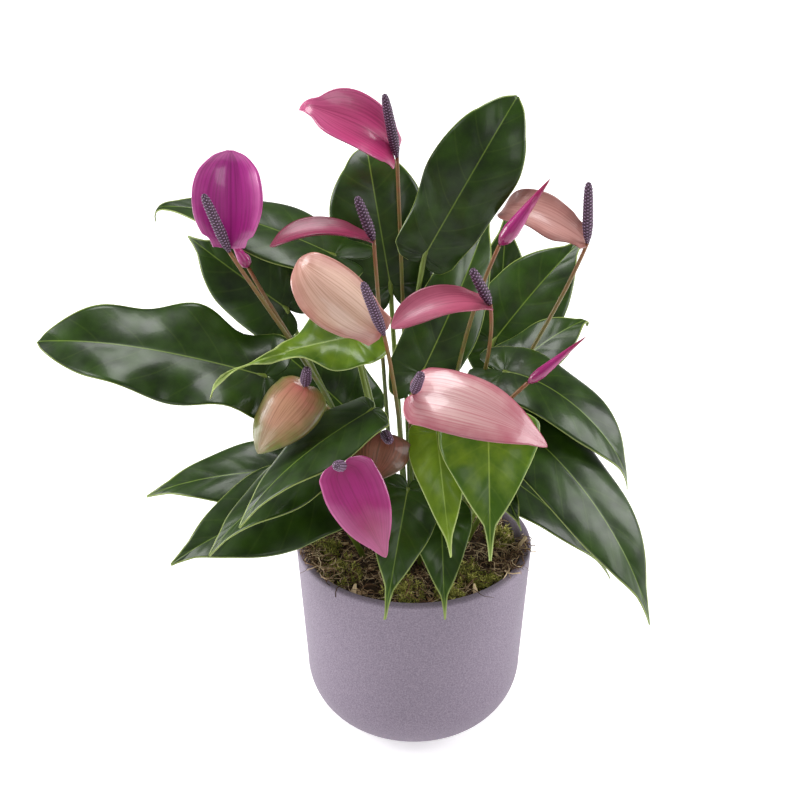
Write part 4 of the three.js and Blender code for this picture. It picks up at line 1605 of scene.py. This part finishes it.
    def spread(self, rng: np.random.Generator, count: int, reach: float) -> Array:
        """Draws places all over the bed.

        Args:
            rng: the source of random numbers.
            count: how many.
            reach: how far from the middle they may lie, as a share of the radius.

        Returns:
            One place each, on the bed.
        """
        r = self.radius * reach * np.sqrt(rng.uniform(0, 1, count))
        a = rng.uniform(0, TURN, count)
        x, y = r * np.cos(a), r * np.sin(a)
        return np.stack([x, y, self.height(x, y)], axis=1)

    def over_rim(self, rng: np.random.Generator) -> Array:
        """Draws places for the fibres of the tufts that lie over the rim.

        Args:
            rng: the source of random numbers.

        Returns:
            One place each.
        """
        count = self.rim_fibres * len(self.tufts)
        a = np.radians(np.repeat(self.tufts, self.rim_fibres) + rng.normal(0, 4, count))
        r = rng.uniform(56, 68, count)
        z = 117.5 + (r - 56) * 0.32 + rng.uniform(0, 3, count)
        return np.stack([r * np.cos(a), r * np.sin(a), z], axis=1)

    def build(self, palette: Palette) -> dict[str, Piece]:
        """Models and dresses everything on the soil.

        Args:
            palette: the finishes.

        Returns:
            The pieces by name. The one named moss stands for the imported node.
        """
        rng = np.random.default_rng(self.seed)
        bed = self.bed()
        strands = [self.strand(k, 15, 0.33) for k in range(6)]
        places = self.spread(rng, self.fibres, 0.97)
        places[:, 2] += rng.uniform(-0.6, 2.0, self.fibres)
        rim = self.over_rim(rng)
        twigs = np.array(self.twigs)
        count = self.fibres + len(rim)
        fibres = scatter(
            "moss_fibres",
            strands,
            np.concatenate([places, rim, twigs[:, :3]]),
            np.concatenate([turned_frames(rng, count, 26), turned(*np.radians(twigs[:, 3:5]).T)]),
            np.concatenate([rng.uniform(0.45, 1.1, count), twigs[:, 5]]),
            np.concatenate([rng.uniform(0.05, 0.9, count) ** 1.4, twigs[:, 6]]),
        )
        near = self.sprigs // len(self.clumps)
        spots = []
        for cx, cy, size in self.clumps:
            a, r = rng.uniform(0, TURN, near), size * rng.uniform(0, 1, near) ** 0.6
            spots.append(np.stack([cx + r * np.cos(a), cy + r * np.sin(a)], axis=1))
        flat = np.concatenate(spots)
        flat = flat[np.hypot(flat[:, 0], flat[:, 1]) < self.radius * 0.985]
        heights = self.height(flat[:, 0], flat[:, 1]) + rng.uniform(-0.6, 0.6, len(flat))
        places = np.column_stack([flat, heights])
        sprigs = scatter(
            "moss_sprigs",
            [self.sprig(k) for k in range(5)],
            places,
            turned_frames(rng, len(flat), 35),
            rng.uniform(0.9, 1.8, len(flat)),
            rng.uniform(0.1, 0.8, len(flat)),
        )
        places = self.spread(rng, self.chips, 0.95)
        places[:, 2] += rng.uniform(0.2, 1.8, self.chips)
        slivers = np.array(self.slivers)
        chips = scatter(
            "moss_bark_chips",
            [self.chip(k) for k in range(5)],
            np.concatenate([places, slivers[:, :3]]),
            np.concatenate([turned_frames(rng, self.chips, 35), turned(*np.radians(slivers[:, 3:5]).T)]),
            np.concatenate([rng.uniform(0.5, 1.5, self.chips), slivers[:, 5]]),
            np.concatenate([rng.uniform(0.0, 0.8, self.chips), slivers[:, 6]]),
        )
        pieces = {"moss": bed, "fibres": fibres, "sprigs": sprigs, "chips": chips}
        finishes = ("leaf_mould", "dry_root_fibre", "sphagnum_moss", "pine_bark_chip")
        for piece, finish in zip(pieces.values(), finishes):
            piece.data.materials.append(palette.litter[finish])
        return pieces


# ---------- The stage ----------


@dataclass(frozen=True)
class Studio:
    """A pale floor, soft boxes and the camera."""

    distance: float = 1.3
    pitch: float = 29.4  # degrees below the horizon
    lens: float = 101.5
    aim: Triple = (-0.0083, 0, 0.216)

    def build(self) -> None:
        """Sets up the floor, the lights and the camera."""
        bpy.context.scene.view_settings.view_transform = "Standard"
        self.floor()
        self.lights()
        self.camera()

    def floor(self) -> None:
        """Lays a pale floor."""
        deselect()
        bpy.ops.mesh.primitive_circle_add(vertices=64, radius=8, fill_type="NGON")
        floor = bpy.context.object
        floor.name = "studio_floor"
        pale = {"Base Color": (0.9, 0.9, 0.9, 1), "Roughness": 0.9}
        glow = {"Emission Color": (1, 1, 1, 1), "Emission Strength": 0.5}
        floor.data.materials.append(Shading("pale_studio_floor").finish(pale | glow, {}))

    def lights(self) -> None:
        """Hangs a soft box on each side, one overhead and a weak one in front, in a pale room."""
        world = bpy.data.worlds.new("pale_room")
        bpy.context.scene.world = world
        world.use_nodes = True
        sky = world.node_tree.nodes["Background"]
        sky.inputs["Color"].default_value = (1, 1, 1, 1)
        sky.inputs["Strength"].default_value = 0.22
        middle = np.array(self.aim)
        for name, place, size, watts in (
            ("left_soft_box", (-1.5, 0.15, 0.75), 0.9, 25),
            ("right_soft_box", (1.5, 0.1, 0.75), 0.9, 19),
            ("overhead_soft_box", (-0.2, 0.5, 1.8), 0.9, 24),
            ("front_fill", (0.4, -1.8, 1.3), 0.8, 6),
        ):
            deselect()
            bpy.ops.object.light_add(type="AREA", location=place)
            light = bpy.context.object
            light.name = name
            light.data.size = size
            light.data.energy = watts
            away = np.array(place) - middle
            light.rotation_mode = "QUATERNION"
            light.rotation_quaternion = Vector(away).to_track_quat("Z", "Y")

    def camera(self) -> None:
        """Stands the camera in front of the pot, looking down at the plant."""
        deselect()
        pitch = math.radians(self.pitch)
        x, y, z = self.aim
        place = (x, y - self.distance * math.cos(pitch), z + self.distance * math.sin(pitch))
        bpy.ops.object.camera_add(location=place, rotation=(math.pi / 2 - pitch, 0, 0))
        camera = bpy.context.object
        camera.name = "camera"
        camera.data.lens = self.lens
        camera.data.sensor_width = 36
        bpy.context.scene.camera = camera


# ---------- Putting it together ----------


def settle(piece: Piece, slot: str) -> None:
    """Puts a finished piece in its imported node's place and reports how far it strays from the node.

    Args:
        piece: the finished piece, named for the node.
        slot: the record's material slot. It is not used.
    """
    node = piece.name.removesuffix(ENDING)
    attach(piece, "root")
    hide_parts(node)
    low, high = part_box(node)
    points = np.array([v.co for v in piece.data.vertices])
    stray = max((np.array(low) - points.min(0)).max(), (points.max(0) - np.array(high)).max())
    triangles = sum(len(p.vertices) - 2 for p in piece.data.polygons)
    log.info("%s: %d triangles, %.1f mm outside its node's box", piece.name, triangles, stray / MM)


def main() -> None:
    """Builds the stage and every piece in order."""
    logging.basicConfig(level=logging.INFO, format="%(message)s", stream=sys.stdout)
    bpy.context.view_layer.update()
    Studio().build()
    palette = Palette()
    for leaf in LEAVES:
        settle(leaf.build(palette), leaf.age.value[0])
    for flower in FLOWERS:
        for slot, piece in flower.build(palette).items():
            settle(piece, slot)
    for bud in BUDS:
        settle(bud.build(palette), "spathe_magenta")
    settle(Pot().build(palette), "pot")
    dressing = TopDressing().build(palette)
    settle(dressing.pop("moss"), "moss")
    for piece in dressing.values():
        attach(piece, "root")
    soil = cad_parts["soil"]
    soil.data.materials.clear()
    soil.data.materials.append(palette.litter["potting_soil"])


if __name__ == "__main__":
    main()
